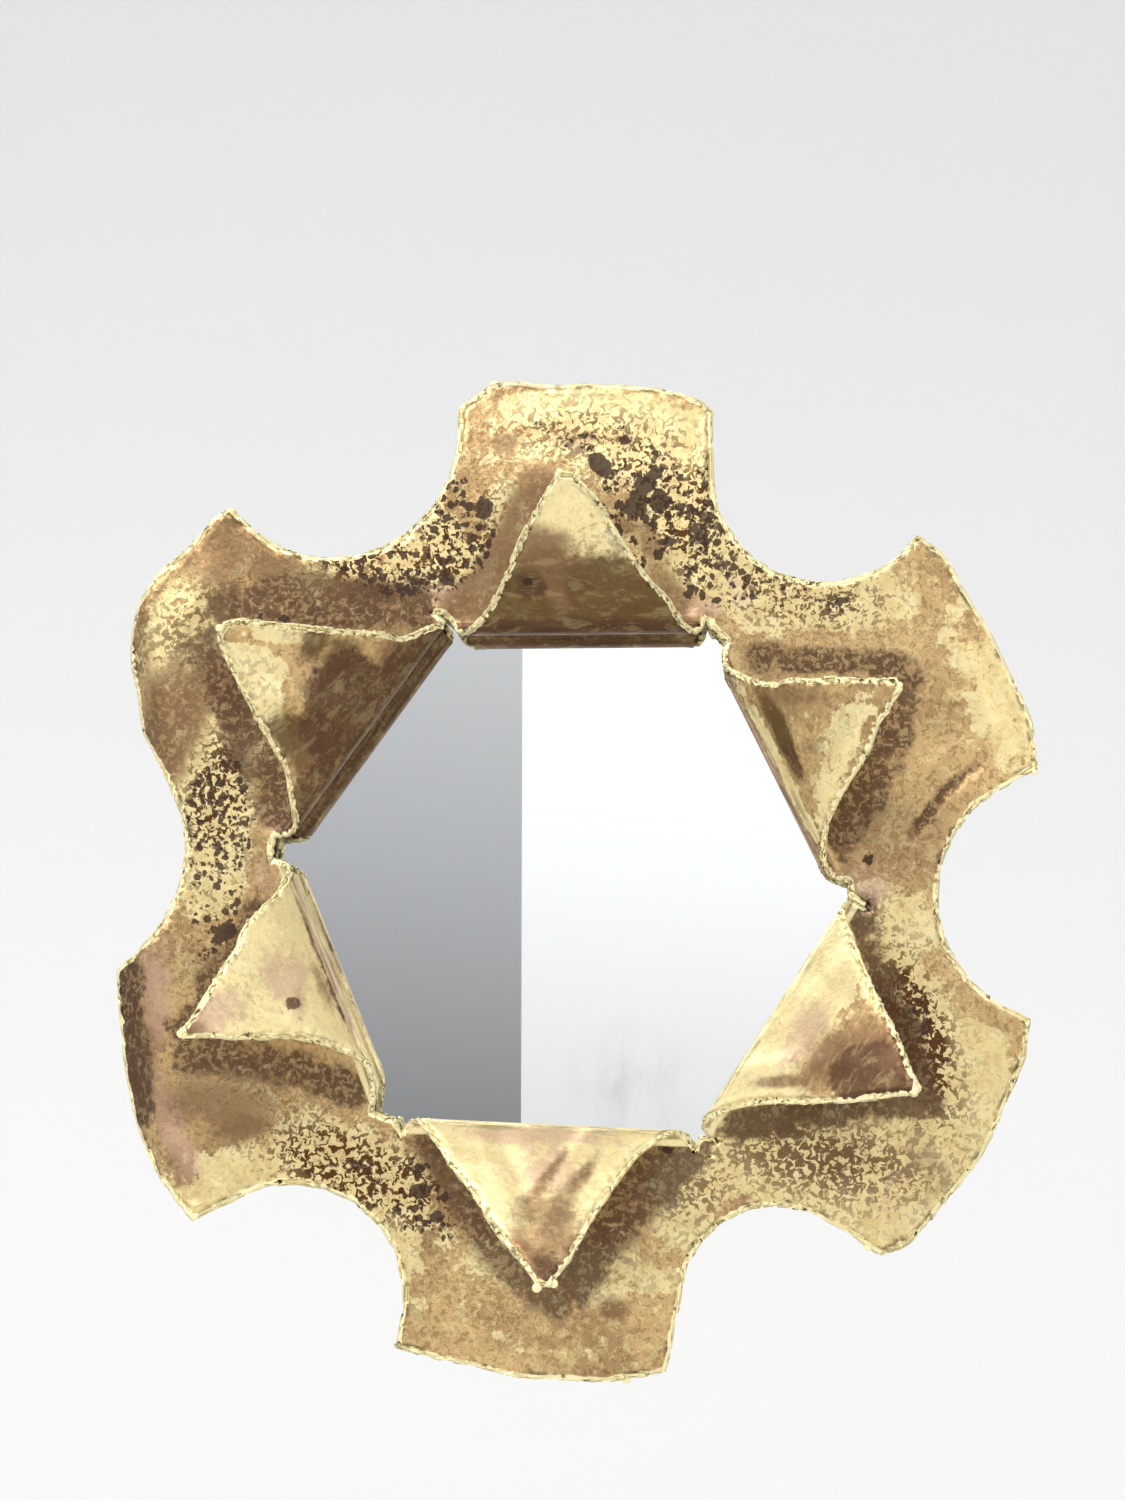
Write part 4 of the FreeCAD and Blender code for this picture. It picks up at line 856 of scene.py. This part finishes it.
def on_flat(vert, point, shift, fields, middle, sizes, bands, creases):
    """Note the marks on a place of the flat part, and return where it is once bent."""
    moved = point + shift
    back = bent_height(moved, sizes)
    back += fade(OPENING_CALM, point.length) * sizes.ripple * waves(point, FLAT_WAVES)
    for path, depth, width in creases:
        sharp = max(0.0, 1.0 - distance_to_path(point, path) / width) ** FLAT_CREASE_POWER
        back += depth * sharp
    for x, y, radius, height in LUMPS:
        gap = (point - Vector((x, y)) * MM).length / (radius * MM)
        if gap < 1.0:
            back -= LUMP_SHARE * height * MM * math.sqrt(1.0 - gap * gap)
    # Stains, and painted shade beside the petals and in the left lobes' bends.
    tones = patch_strength(point, SHEET_STAINS_AND_SHADE)
    # Painted shade bands beside the petals, in the lower left lobe's bend and in a groove.
    for path, width, tone, strength in bands:
        gap = distance_to_path(point, path) / width
        tones[tone] = max(tones[tone], strength * (1.0 - smoothstep(*BAND_FADE, gap)))
        tones["speck"] *= 1.0 - BAND_CLEARS * (1.0 - smoothstep(*CLEAR_FADE, gap))
    for tone, strength in tones.items():
        vert[fields[tone]] = strength
    return Vector((moved.x, middle + back, moved.y))


def add_beads(mesh, sizes, petals):
    """Small round beads of melt at the petals' tips and on the rim of the lobes."""
    middle = SHEET_BACK - sizes.gauge / 2
    gap = mesh.verts.layers.float["gap"]
    gauge = mesh.verts.layers.deform.verify()
    beads = [(petals[name].place(along * MM, across * MM, BEAD_LIFT * MM, middle), radius)
             for name, along, across, radius in TIP_BEADS]
    for x, y, radius in RIM_BEADS:
        back = bent_height(Vector((x, y)) * MM, sizes)
        beads.append((Vector((x * MM, middle + back, y * MM)), radius))
    for number, (place, radius) in enumerate(beads):
        shape = Matrix.Translation(place) @ Matrix.Rotation(BEAD_TURN * number, 4, BEAD_AXIS)
        shape = shape @ Matrix.Diagonal(BEAD_SHAPE)
        made = bmesh.ops.create_icosphere(mesh, subdivisions=2, radius=radius * MM, matrix=shape)
        for vert in made["verts"]:
            vert[gap] = 0.0
            vert[gauge][0] = BEAD_GAUGE


def add_object(name, mesh, material):
    """Turn a bmesh into a smooth-shaded object of the scene."""
    data = bpy.data.meshes.new(name)
    mesh.to_mesh(data)
    mesh.free()
    data.materials.append(material)
    for polygon in data.polygons:
        polygon.use_smooth = True
    made = bpy.data.objects.new(name, data)
    bpy.context.scene.collection.objects.link(made)
    return made


def finish_piece(name, mesh, material, body, node_names):
    """Turn a bmesh into a piece that rides on its body and stands for its CAD nodes."""
    piece = add_object(name, mesh, material)
    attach(piece, body)
    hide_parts(*node_names)
    return piece


class Wire:
    """A socket of a node tree that takes part in Python expressions."""

    def __init__(self, recipe, socket):
        self.recipe = recipe
        self.socket = socket

    def math(self, operation, first, second):
        return self.recipe.node("ShaderNodeMath", {"operation": operation}, {0: first, 1: second})

    def __add__(self, other):
        return self.math("ADD", self, other)

    def __sub__(self, other):
        return self.math("SUBTRACT", self, other)

    def __rsub__(self, other):
        return self.math("SUBTRACT", other, self)

    def __mul__(self, other):
        return self.math("MULTIPLY", self, other)

    __radd__ = __add__
    __rmul__ = __mul__


class Recipe:
    """Node tree of a material or of the world, filled node by node."""

    def __init__(self, owner):
        owner.use_nodes = True
        self.owner = owner
        self.tree = owner.node_tree
        self.tree.nodes.clear()

    def node(self, kind, settings, values, output=0):
        """Add a node: its settings first, then the values or links of its sockets."""
        made = self.tree.nodes.new(kind)
        for name, value in settings.items():
            if name == "stops":
                self.set_stops(made.color_ramp, value)
            else:
                setattr(made, name, value)
        for name, value in values.items():
            self.fill(made.inputs[name], value)
        return Wire(self, made.outputs[output]) if made.outputs else made

    def fill(self, socket, value):
        if isinstance(value, Wire):
            self.tree.links.new(value.socket, socket)
        elif socket.type == "RGBA":
            socket.default_value = (*value, 1.0)[:4]
        else:
            socket.default_value = value

    def set_stops(self, ramp, stops):
        while len(ramp.elements) < len(stops):
            ramp.elements.new(1.0)
        for element, (place, value) in zip(ramp.elements, stops):
            element.position = place
            element.color = (*value, 1.0)

    def place(self):
        return self.node("ShaderNodeTexCoord", {}, {}, "Object")

    def stretched(self, vector, scale):
        return self.node("ShaderNodeMapping", {}, {"Vector": vector, "Scale": scale})

    def noise(self, vector, size, detail=4.0, roughness=0.55, distortion=0.0):
        """Noise whose features are about size metres across."""
        return self.node("ShaderNodeTexNoise", {}, {
            "Vector": vector, "Scale": 1.0 / size, "Detail": detail, "Roughness": roughness,
            "Distortion": distortion})

    def cells(self, vector, size):
        return self.node("ShaderNodeTexVoronoi", {}, {
            "Vector": vector, "Scale": 1.0 / size}, "Distance")

    def ramp(self, value, *stops):
        return self.node("ShaderNodeValToRGB", {"stops": stops}, {"Fac": value}, "Color")

    def step(self, value, low, high):
        """Smooth step of a value from low to high."""
        return self.node("ShaderNodeMapRange", {"interpolation_type": "SMOOTHSTEP"}, {
            "Value": value, "From Min": low, "From Max": high}, "Result")

    def mix(self, share, first, second):
        return self.node("ShaderNodeMix", {"data_type": "RGBA", "clamp_factor": True}, {
            "Factor": share, 6: first, 7: second}, 2)

    def field(self, name):
        return self.node("ShaderNodeAttribute", {"attribute_name": name}, {}, "Fac")

    def bump(self, height, distance, strength):
        return self.node("ShaderNodeBump", {}, {
            "Height": height, "Distance": distance, "Strength": strength}, "Normal")

    def surface(self, values):
        shader = self.node("ShaderNodeBsdfPrincipled", {}, values)
        self.node("ShaderNodeOutputMaterial", {}, {"Surface": shader})
        return self.owner


def start_recipe(name):
    """Recipe of a new material, and the place on the object that its patterns read."""
    recipe = Recipe(bpy.data.materials.new(name))
    return recipe, recipe.place()


def scaled(shade, share):
    """A colour made lighter or darker."""
    return [min(1.0, value * share) for value in shade]


def brass_material(colours):
    """Flame-coloured brass: clear gold, pale scoured patches, heat tints, dark scale, and painted
    light and shade: highlights and shade on the petals, shade bands beside them.
    """
    recipe, place = start_recipe("torch_cut_brass")
    wide = recipe.noise(place, 34 * MM, 3.0)
    mid = recipe.noise(place, 9 * MM, 8.0, 0.66)
    fine = recipe.noise(place, 3.0 * MM, 8.0, 0.68)
    grain = recipe.noise(place, 0.8 * MM, 3.0, 0.6)
    mottle = recipe.noise(place, 2.1 * MM, 6.0, 0.58, 0.8)
    tone = {name: recipe.field(name) for name in (*TONES, *MARKS)}
    # Breaks the borders of the tones into crisp, dotted patches.
    loose = 2.1 * (mid - 0.5) + 1.3 * (fine - 0.5)
    # Streaks that run along the fold, on the petals only.
    unrolled = recipe.node("ShaderNodeCombineXYZ", {}, {
        "X": tone["along"], "Y": tone["across"] * 0.07, "Z": 0.0})
    streak = recipe.noise(unrolled, 1.7 * MM, 5.0, 0.6, 0.4)
    brushed = recipe.node("ShaderNodeCombineXYZ", {}, {
        "X": tone["along"], "Y": tone["across"] * 0.45, "Z": 0.0})
    broad = recipe.noise(brushed, 4.2 * MM, 7.0, 0.66, 0.5)

    # Gold ground that drifts to brown, with pale patches whose borders are crisp and dotted.
    drift = recipe.step(wide + 0.7 * (mid - 0.5), 0.38, 0.62)
    ground = recipe.mix(drift * 0.55, colours.gold, colours.brown)
    flecks = recipe.step(fine + 0.5 * (mid - 0.5), 0.50, 0.56)
    ground = recipe.mix(flecks * 0.38, ground, colours.pale)
    pits = 1.0 - recipe.step(mottle + 0.3 * (mid - 0.5), 0.40, 0.47)
    ground = recipe.mix(pits * 0.42, ground, colours.burnt_and_shadow)
    # On the petals the pale tone is mostly painted highlight, along the folds and on the faces that
    # look up.
    scoured_and_highlit = (tone["pale"] + tone["fleck"] * 0.9) * 0.72 + 1.5 * (mid - 0.5)
    pale = recipe.step(scoured_and_highlit + 1.1 * (fine - 0.5), 0.24, 0.38)
    light = recipe.mix(recipe.step(fine, 0.44, 0.56) * 0.45, colours.pale, colours.gold)
    light = recipe.mix(recipe.step(mid + fine * 0.3, 0.60, 0.80) * 0.5 + tone["petal"] * 0.4, light,
                       colours.cream)
    ground = recipe.mix(pale * 0.92, ground, light)
    # Fine brown mottling, dense where the flame spat.
    flecked = recipe.step(mottle + tone["fleck"] * 0.08 + 0.25 * (mid - 0.5), 0.54, 0.60)
    spat = (0.20 + (tone["speck"] + tone["fleck"]) * 0.62) * (1.0 - tone["petal"] * 0.4)
    ground = recipe.mix(flecked * spat, ground, colours.burnt_and_shadow)
    # Tints laid over each other, the darkest last: pink is heat tint and, along the petals' folds,
    # painted highlight; olive is painted shade on the petals; brown and plum are heat tint and
    # painted shade. Pale flecks break brown and plum in places.
    # Each tint has a share of the noise, the strengths between which it shows, and its cover.
    tint_cover = 1.0 - recipe.step(mottle + 0.3 * (mid - 0.5), 0.52, 0.57) * (
        0.55 - tone["petal"] * 0.35)
    shade = ground
    for name, wander, low, high, share in (
            ("pink", 1.0, 0.2, 0.9, 0.62), ("olive", 0.7, 0.25, 0.8, 0.92),
            ("brown", 0.55, 0.12, 0.85, tint_cover * 0.92), ("plum", 1.0, 0.38, 0.88, tint_cover * 0.90)):
        tint = recipe.step(tone[name] + wander * loose, low, high)
        shade = recipe.mix(tint * share, shade, getattr(colours, name))
    # Painted shade: dark streaks along the fold, where the rolled sheet shows streaky reflections.
    lines = recipe.step(streak, 0.48, 0.64) * tone["fold"] * 0.55
    shade = recipe.mix(lines, shade, colours.dark)
    lights = recipe.step(broad, 0.52, 0.62) * 0.14 * tone["petal"]
    shade = recipe.mix(lights, shade, colours.pale)
    # Dark scale: round specks of several sizes where the flame spat, and listed blobs.
    wander = recipe.node("ShaderNodeTexNoise", {}, {
        "Vector": place, "Scale": 420.0, "Detail": 2.0}, "Color")
    bent = recipe.node("ShaderNodeVectorMath", {"operation": "MULTIPLY_ADD"}, {
        0: wander, 1: (0.0024, 0.0024, 0.0024), 2: place}, "Vector")
    specks = 1.0 - recipe.step(recipe.cells(bent, 3.8 * MM), 0.30, 0.42)
    small = 1.0 - recipe.step(recipe.cells(bent, 2.0 * MM), 0.30, 0.42)
    crowd = recipe.step(tone["speck"] + 0.55 * loose, 0.35, 0.75)
    few = recipe.step(mid, 0.42, 0.50)
    scale = recipe.step(specks * crowd + small * crowd * few, 0.30, 0.62)
    blots = recipe.step(tone["speck"] * 0.52 + 0.75 * loose, 0.60, 0.70)
    blobs = recipe.step(tone["dark"] + 0.5 * loose, 0.50, 0.60)
    dark = scale.math("MAXIMUM", scale, blots * 0.9)
    dark = dark.math("MAXIMUM", dark, blobs)
    shade = recipe.mix(dark * 0.92, shade, colours.dark)
    # Bright melted edge, with a painted shadow line inside it here and there.
    edge = tone["gap"] * GAP_REACH + 0.8 * (fine - 0.5) - tone["petal"] * 0.35 + (
        (mid - 0.5) * 2.4 - 0.5) * (1.0 - tone["petal"])
    # The dark line just inside the melted edge is painted shadow of the bead.
    burnt_and_shadow = (1.0 - recipe.step(edge, 1.3, 2.6)) * recipe.step(mid, 0.50, 0.60) * (
        1.0 - tone["petal"] * 0.4)
    shade = recipe.mix(burnt_and_shadow * 0.6, shade, colours.dark)
    rim = 1.0 - recipe.step(edge, 0.75, 1.05)
    shade = recipe.mix(rim * 0.92, shade, colours.cream)
    rough = 0.31 + 0.16 * mid + dark * 0.25 - tone["fold"] * 0.08 + tone["petal"] * 0.06
    metal = 0.86 - dark * 0.35 - rim * 0.56
    height = 0.55 * mid + 0.35 * fine + 0.10 * grain - dark * 0.05
    normal = recipe.bump(height, 0.6 * MM, 0.8)
    return recipe.surface({"Base Color": shade, "Roughness": rough, "Metallic": metal,
                           "Normal": normal})


# Middle of the dusty place on the glass, and how far its dust reaches, full and at all.
SMUDGE_PLACE = (26.6 * MM, -13.5 * MM, -66 * MM)
SMUDGE_REACH = (4 * MM, 28 * MM)

# Colours of dust on glass, of the bloom on rubber, and of flakes and clouds in hardboard.
DUST = (0.66, 0.68, 0.68)
BLOOM = (0.09, 0.09, 0.088)
FLAKE = (0.30, 0.20, 0.12)
CLOUD = (0.10, 0.065, 0.04)


def mirror_material(colours):
    """Silvered glass with a faint film of dust."""
    recipe, place = start_recipe("mirror")
    away = recipe.node("ShaderNodeVectorMath", {"operation": "DISTANCE"}, {
        0: place, 1: SMUDGE_PLACE}, "Value")
    wisps = recipe.noise(recipe.stretched(place, (1.6, 1.0, 0.7)), 14 * MM, 6.0)
    smudge = (1.0 - recipe.step(away, *SMUDGE_REACH)) * recipe.step(wisps, 0.30, 0.85)
    film = recipe.step(recipe.noise(place, 30 * MM, 4.0), 0.4, 0.8)
    shade = recipe.mix(smudge * 0.5, colours.silver, DUST)
    return recipe.surface({"Base Color": shade, "Metallic": 1.0,
                           "Roughness": 0.006 + 0.01 * film + smudge * 0.25})


def plain_brass_material(colours):
    """Rolled brass strip, tarnished, with the marks of the rolls and of brazing."""
    recipe, place = start_recipe("band_brass")
    lines = recipe.noise(recipe.stretched(place, (1.0, 14.0, 1.0)), 6 * MM, 4.0)
    stain = recipe.step(recipe.noise(place, 16 * MM, 5.0), 0.45, 0.70)
    spots = recipe.step(recipe.noise(place, 3 * MM, 3.0), 0.60, 0.72)
    shade = recipe.mix(lines * 0.5, colours.gold, colours.pale)
    shade = recipe.mix(stain * 0.75, shade, colours.brown)
    shade = recipe.mix(spots * 0.6, shade, colours.dark)
    return recipe.surface({"Base Color": shade, "Metallic": 0.9,
                           "Roughness": 0.34 + 0.2 * stain + 0.1 * lines,
                           "Normal": recipe.bump(lines + stain * 0.4, 0.12 * MM, 0.6)})


def rubber_material(colours):
    """Black rubber with a faint grey bloom."""
    recipe, place = start_recipe("rubber")
    grain = recipe.noise(place, 0.7 * MM, 3.0)
    bloom = recipe.step(recipe.noise(place, 5 * MM, 4.0), 0.5, 0.8)
    shade = recipe.mix(bloom * 0.35, colours.rubber, BLOOM)
    return recipe.surface({"Base Color": shade, "Roughness": 0.62 + 0.2 * bloom,
                           "Normal": recipe.bump(grain, 0.1 * MM, 0.5)})


def board_material(colours):
    """Hardboard: pressed wood fibre with a smooth, slightly shiny face."""
    recipe, place = start_recipe("hardboard")
    fibre = recipe.noise(recipe.stretched(place, (1.0, 1.0, 2.4)), 1.1 * MM, 5.0, 0.7)
    flakes = recipe.cells(place, 3.2 * MM)
    cloud = recipe.noise(place, 40 * MM, 3.0)
    shade = recipe.mix(fibre, scaled(colours.board, 0.62), colours.board)
    shade = recipe.mix(recipe.step(flakes, 0.5, 0.8) * 0.10, shade, FLAKE)
    shade = recipe.mix(cloud * 0.35, shade, CLOUD)
    return recipe.surface({"Base Color": shade, "Roughness": 0.55 + 0.2 * fibre,
                           "Normal": recipe.bump(fibre + flakes * 0.4, 0.1 * MM, 0.5)})


def felt_material(colours):
    """Grey felt: matted hair, thicker here and there."""
    recipe, place = start_recipe("pad")
    hair = recipe.noise(place, 0.5 * MM, 6.0, 0.75, 1.5)
    clump = recipe.noise(place, 4 * MM, 4.0)
    shade = recipe.mix(hair, scaled(colours.felt, 0.55), scaled(colours.felt, 1.5))
    return recipe.surface({"Base Color": shade, "Roughness": 0.96, "Sheen Weight": 0.35,
                           "Normal": recipe.bump(hair + clump * 0.5, 0.3 * MM, 0.8)})


def plated_material(name, tint, rough):
    """Bright plating with fine scratches and a few dull patches."""
    recipe, place = start_recipe(name)
    dull = recipe.step(recipe.noise(place, 3 * MM, 5.0), 0.45, 0.72)
    drawn = recipe.noise(recipe.stretched(place, (9.0, 1.0, 1.0)), 1.2 * MM, 4.0)
    shade = recipe.mix(dull * 0.4, tint, scaled(tint, 0.62))
    return recipe.surface({"Base Color": shade, "Metallic": 1.0,
                           "Roughness": rough + 0.18 * dull + 0.08 * drawn,
                           "Normal": recipe.bump(drawn, 0.05 * MM, 0.4)})


class MIRROR_OT_sheet(bpy.types.Operator):
    """Cut, roll and colour the brass sheet"""
    bl_idname = "mirror.sheet"
    bl_label = "Brass Sheet"

    def execute(self, context):
        sizes = context.scene.mirror_sheet
        petals = {name: Petal(name, sizes) for name in FOLDS}
        mesh = blank_mesh(sizes, petals)
        form_sheet(mesh, sizes, petals)
        add_beads(mesh, sizes, petals)
        bmesh.ops.recalc_face_normals(mesh, faces=mesh.faces)
        piece = finish_piece("brass_sheet", mesh, brass_material(context.scene.mirror_brass),
                             "mirror", ["frame_plate"])
        piece.vertex_groups.new(name="gauge")
        shell = piece.modifiers.new("Gauge", "SOLIDIFY")
        shell.thickness = SHELL_SHARE * sizes.bead_gauge
        shell.offset = 0.0
        shell.vertex_group = "gauge"
        shell.use_quality_normals = True
        return {"FINISHED"}


class MIRROR_OT_glass(bpy.types.Operator):
    """Silver the glass and give its glazing ring a rubber finish"""
    bl_idname = "mirror.glass"
    bl_label = "Glass"

    def execute(self, context):
        colours = context.scene.mirror_back
        put_material("mirror_glass", mirror_material(colours))
        put_material("glazing_ring", rubber_material(colours))
        return {"FINISHED"}


def put_material(node, material):
    """Give a CAD node its finish."""
    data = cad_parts[node].data
    data.materials.clear()
    data.materials.append(material)


TABS = 6
FEET = 4

# How far the felt stays inside its solid, at its rim and on each face, how many sides its disc
# has, and the share of its half thickness that its rounded rims take.
PAD_ROOM = (0.4 * MM, 0.02 * MM)
PAD_SIDES = 96
PAD_ROUND = 0.8


class MIRROR_OT_back(bpy.types.Operator):
    """Finish the band, tabs, backing and feet"""
    bl_idname = "mirror.back"
    bl_label = "Back"

    def execute(self, context):
        colours = context.scene.mirror_back
        brass = plain_brass_material(context.scene.mirror_brass)
        put_material("rim_band", brass)
        for number in range(1, TABS + 1):
            put_material(f"retaining_tab_{number}", brass)
        put_material("backing_disc", board_material(colours))
        rubber = rubber_material(colours)
        for number in range(1, FEET + 1):
            put_material(f"wall_bumper_{number}", rubber)
        low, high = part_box("cushion_pad")
        mesh = bmesh.new()
        radius = (high.x - low.x) / 2 - PAD_ROOM[0]
        half = (high.y - low.y) / 2 - PAD_ROOM[1]
        turn = Matrix.Translation((0.0, (low.y + high.y) / 2, 0.0)) @ Matrix.Rotation(
            math.pi / 2, 4, "X")
        bmesh.ops.create_cone(mesh, cap_ends=True, segments=PAD_SIDES, radius1=radius,
                              radius2=radius, depth=2 * half, matrix=turn)
        rims = [edge for edge in mesh.edges if len(edge.link_faces) == 2
                and any(len(face.verts) > 4 for face in edge.link_faces)]
        bmesh.ops.bevel(mesh, geom=rims, offset=PAD_ROUND * half, affect="EDGES", segments=3,
                        profile=0.5, material=-1)
        pad = finish_piece("felt_pad", mesh, felt_material(colours), "mirror", ["cushion_pad"])
        return {"FINISHED"}


class MIRROR_OT_hanger(bpy.types.Operator):
    """Plate the strap and the ring, and finish the rivets"""
    bl_idname = "mirror.hanger"
    bl_label = "Hanger"

    def execute(self, context):
        colours = context.scene.mirror_back
        put_material("hanger_strap", plated_material("plated_strap", colours.steel, 0.24))
        put_material("hanger_ring", plated_material("plated_ring", colours.steel, 0.16))
        put_material("hanger_rivets", plated_material("rivet_metal", colours.rivet, 0.34))
        return {"FINISHED"}


class MIRROR_OT_stage(bpy.types.Operator):
    """Set the camera, the floor and the light"""
    bl_idname = "mirror.stage"
    bl_label = "Stage"

    def execute(self, context):
        scene = context.scene
        stage = scene.mirror_stage
        scene.view_settings.view_transform = "Standard"
        make_camera(scene, stage)
        make_floor(stage)
        make_sky(scene)
        for *lamp, lean in LAMPS:
            soft_lamp(*lamp, lean * stage.roll)
        return {"FINISHED"}


# Lamps: name, place and target in metres, width and height in metres, power in watts, and 1 for
# the panel that the glass shows, which leans as the camera does.
LAMPS = (
    ("key", (-1.05, -1.25, 1.45), (0, 0, 0), 1.2, 1.2, 28, 0),
    ("panel", (0.10, -2.6, 0.35), (0.10, 0, 0.35), 0.84, 1.3, 1.9, 1),
    ("fill", (1.5, -1.3, 0.4), (0, 0, 0), 0.9, 0.9, 5, 0),
    ("backdrop", (-1.9, 0.7, 1.0), (-0.4, 2.8, 0.2), 1.2, 1.2, 5, 0),
    ("backdrop", (1.9, 0.7, 1.0), (0.4, 2.8, 0.2), 1.2, 1.2, 5, 0),
)

# The camera stands in front of this place of the wall, in mm, which is a little to the right of
# the opening's middle and below it. Next come the photo's size and where that middle lies in it.
FOOT_POINT = (80.5, -79.8)
FRAME_WIDTH = 1125
FRAME_HEIGHT = 1500
OPENING_PIXEL = (561.0, 873.0)

# Floor, in metres: half its width, its front edge, where it starts to curve up, and the wall
# above the curve. The last is the number of faces along the curve.
FLOOR_SIDE = 6.0
FLOOR_FRONT = -4.0
FLOOR_BEND = 1.2
FLOOR_WALL = 3.0
FLOOR_STEPS = 40

# Light of the room by height, from straight down, 0, to straight up, 1.
ROOM_LIGHT = (
    (0.0, (0.22, 0.21, 0.20)), (0.49, (0.25, 0.25, 0.26)), (0.55, (0.48, 0.49, 0.51)),
    (0.68, (0.92, 0.93, 0.95)), (0.90, (1.10, 1.10, 1.10)),
)


def make_camera(scene, stage):
    """Stand where the photographer stood, lean as they did, and shift for their framing."""
    plane = SHEET_BACK - scene.mirror_sheet.gauge / 2
    spot = Vector((FOOT_POINT[0] * MM, plane - stage.distance, FOOT_POINT[1] * MM))
    aim = Vector((spot.x / 2, plane, spot.z / 2))
    turn = (aim - spot).to_track_quat("-Z", "Y").to_matrix()
    turn = turn @ Matrix.Rotation(stage.roll, 3, "Z")
    data = bpy.data.cameras.new("camera")
    data.lens = stage.lens
    data.clip_start = 0.01
    camera = bpy.data.objects.new("camera", data)
    camera.matrix_world = Matrix.Translation(spot) @ turn.to_4x4()
    scene.collection.objects.link(camera)
    scene.camera = camera
    seen = turn.inverted() @ (Vector((0.0, plane, 0.0)) - spot)
    focal = stage.lens / data.sensor_width * FRAME_HEIGHT
    across = focal * seen.x / -seen.z
    down = focal * seen.y / -seen.z
    data.shift_x = (FRAME_WIDTH / 2 + across - OPENING_PIXEL[0]) / FRAME_HEIGHT
    data.shift_y = (OPENING_PIXEL[1] - FRAME_HEIGHT / 2 + down) / FRAME_HEIGHT


def make_floor(stage):
    """Plain floor whose far side curves up behind the piece."""
    mesh = bmesh.new()
    first = mesh.verts.new((-FLOOR_SIDE, FLOOR_FRONT, -stage.floor_drop))
    bend = mesh.verts.new((-FLOOR_SIDE, FLOOR_BEND, -stage.floor_drop))
    mesh.edges.new((first, bend))
    bmesh.ops.spin(mesh, geom=[bend], axis=(1.0, 0.0, 0.0), angle=math.pi / 2, steps=FLOOR_STEPS,
                   cent=(-FLOOR_SIDE, FLOOR_BEND, stage.sweep - stage.floor_drop))
    top = max(mesh.verts, key=lambda vert: vert.co.z)
    raised = bmesh.ops.extrude_vert_indiv(mesh, verts=[top])["verts"]
    bmesh.ops.translate(mesh, verts=raised, vec=(0.0, 0.0, FLOOR_WALL))
    made = bmesh.ops.extrude_edge_only(mesh, edges=mesh.edges[:])["geom"]
    moved = [item for item in made if isinstance(item, bmesh.types.BMVert)]
    bmesh.ops.translate(mesh, verts=moved, vec=(2 * FLOOR_SIDE, 0.0, 0.0))
    bmesh.ops.recalc_face_normals(mesh, faces=mesh.faces)
    recipe, place = start_recipe("pale_floor")
    cloud = recipe.noise(place, 0.15, 3.0)
    shade = recipe.mix(cloud * 0.25, stage.floor, scaled(stage.floor, 0.96))
    material = recipe.surface({"Base Color": shade, "Roughness": 0.9})
    floor = add_object("floor", mesh, material)


def make_sky(scene):
    """Soft room light: bright above, dimmer towards the floor."""
    world = bpy.data.worlds.new("room")
    scene.world = world
    recipe = Recipe(world)
    way = recipe.node("ShaderNodeTexCoord", {}, {}, "Generated")
    height = recipe.node("ShaderNodeSeparateXYZ", {}, {"Vector": way}, "Z")
    shade = recipe.ramp(height * 0.5 + 0.5, *ROOM_LIGHT)
    glow = recipe.node("ShaderNodeBackground", {}, {"Color": shade, "Strength": 1.0})
    recipe.node("ShaderNodeOutputWorld", {}, {"Surface": glow})


def soft_lamp(name, place, target, width, height, power, roll):
    """Hang a soft rectangular lamp that faces its target."""
    data = bpy.data.lights.new(name, "AREA")
    data.shape = "RECTANGLE"
    data.size = width
    data.size_y = height
    data.energy = power
    lamp = bpy.data.objects.new(name, data)
    lamp.location = place
    aim = (Vector(target) - Vector(place)).to_track_quat("-Z", "Y").to_matrix().to_4x4()
    lamp.rotation_euler = (aim @ Matrix.Rotation(roll, 4, "Z")).to_euler()
    bpy.context.scene.collection.objects.link(lamp)


class MIRROR_PT_panel(bpy.types.Panel):
    """Buttons that build the mirror"""
    bl_idname = "MIRROR_PT_panel"
    bl_label = "Brass Mirror"
    bl_space_type = "VIEW_3D"
    bl_region_type = "UI"
    bl_category = "Brass Mirror"

    def draw(self, context):
        for operator in OPERATORS:
            self.layout.operator(operator.bl_idname)


OPERATORS = (MIRROR_OT_stage, MIRROR_OT_sheet, MIRROR_OT_glass, MIRROR_OT_back, MIRROR_OT_hanger)
GROUPS = {"mirror_sheet": SheetSizes, "mirror_brass": BrassColours, "mirror_back": BackColours,
          "mirror_stage": StageSizes}


def register():
    for group in GROUPS.values():
        bpy.utils.register_class(group)
    for name, group in GROUPS.items():
        setattr(bpy.types.Scene, name, bpy.props.PointerProperty(type=group))
    for item in (*OPERATORS, MIRROR_PT_panel):
        bpy.utils.register_class(item)


def unregister():
    for item in (MIRROR_PT_panel, *reversed(OPERATORS)):
        bpy.utils.unregister_class(item)
    for name, group in GROUPS.items():
        delattr(bpy.types.Scene, name)
        bpy.utils.unregister_class(group)


def main():
    register()
    bpy.ops.mirror.stage()
    bpy.ops.mirror.sheet()
    bpy.ops.mirror.glass()
    bpy.ops.mirror.back()
    bpy.ops.mirror.hanger()


if __name__ == "__main__":
    main()
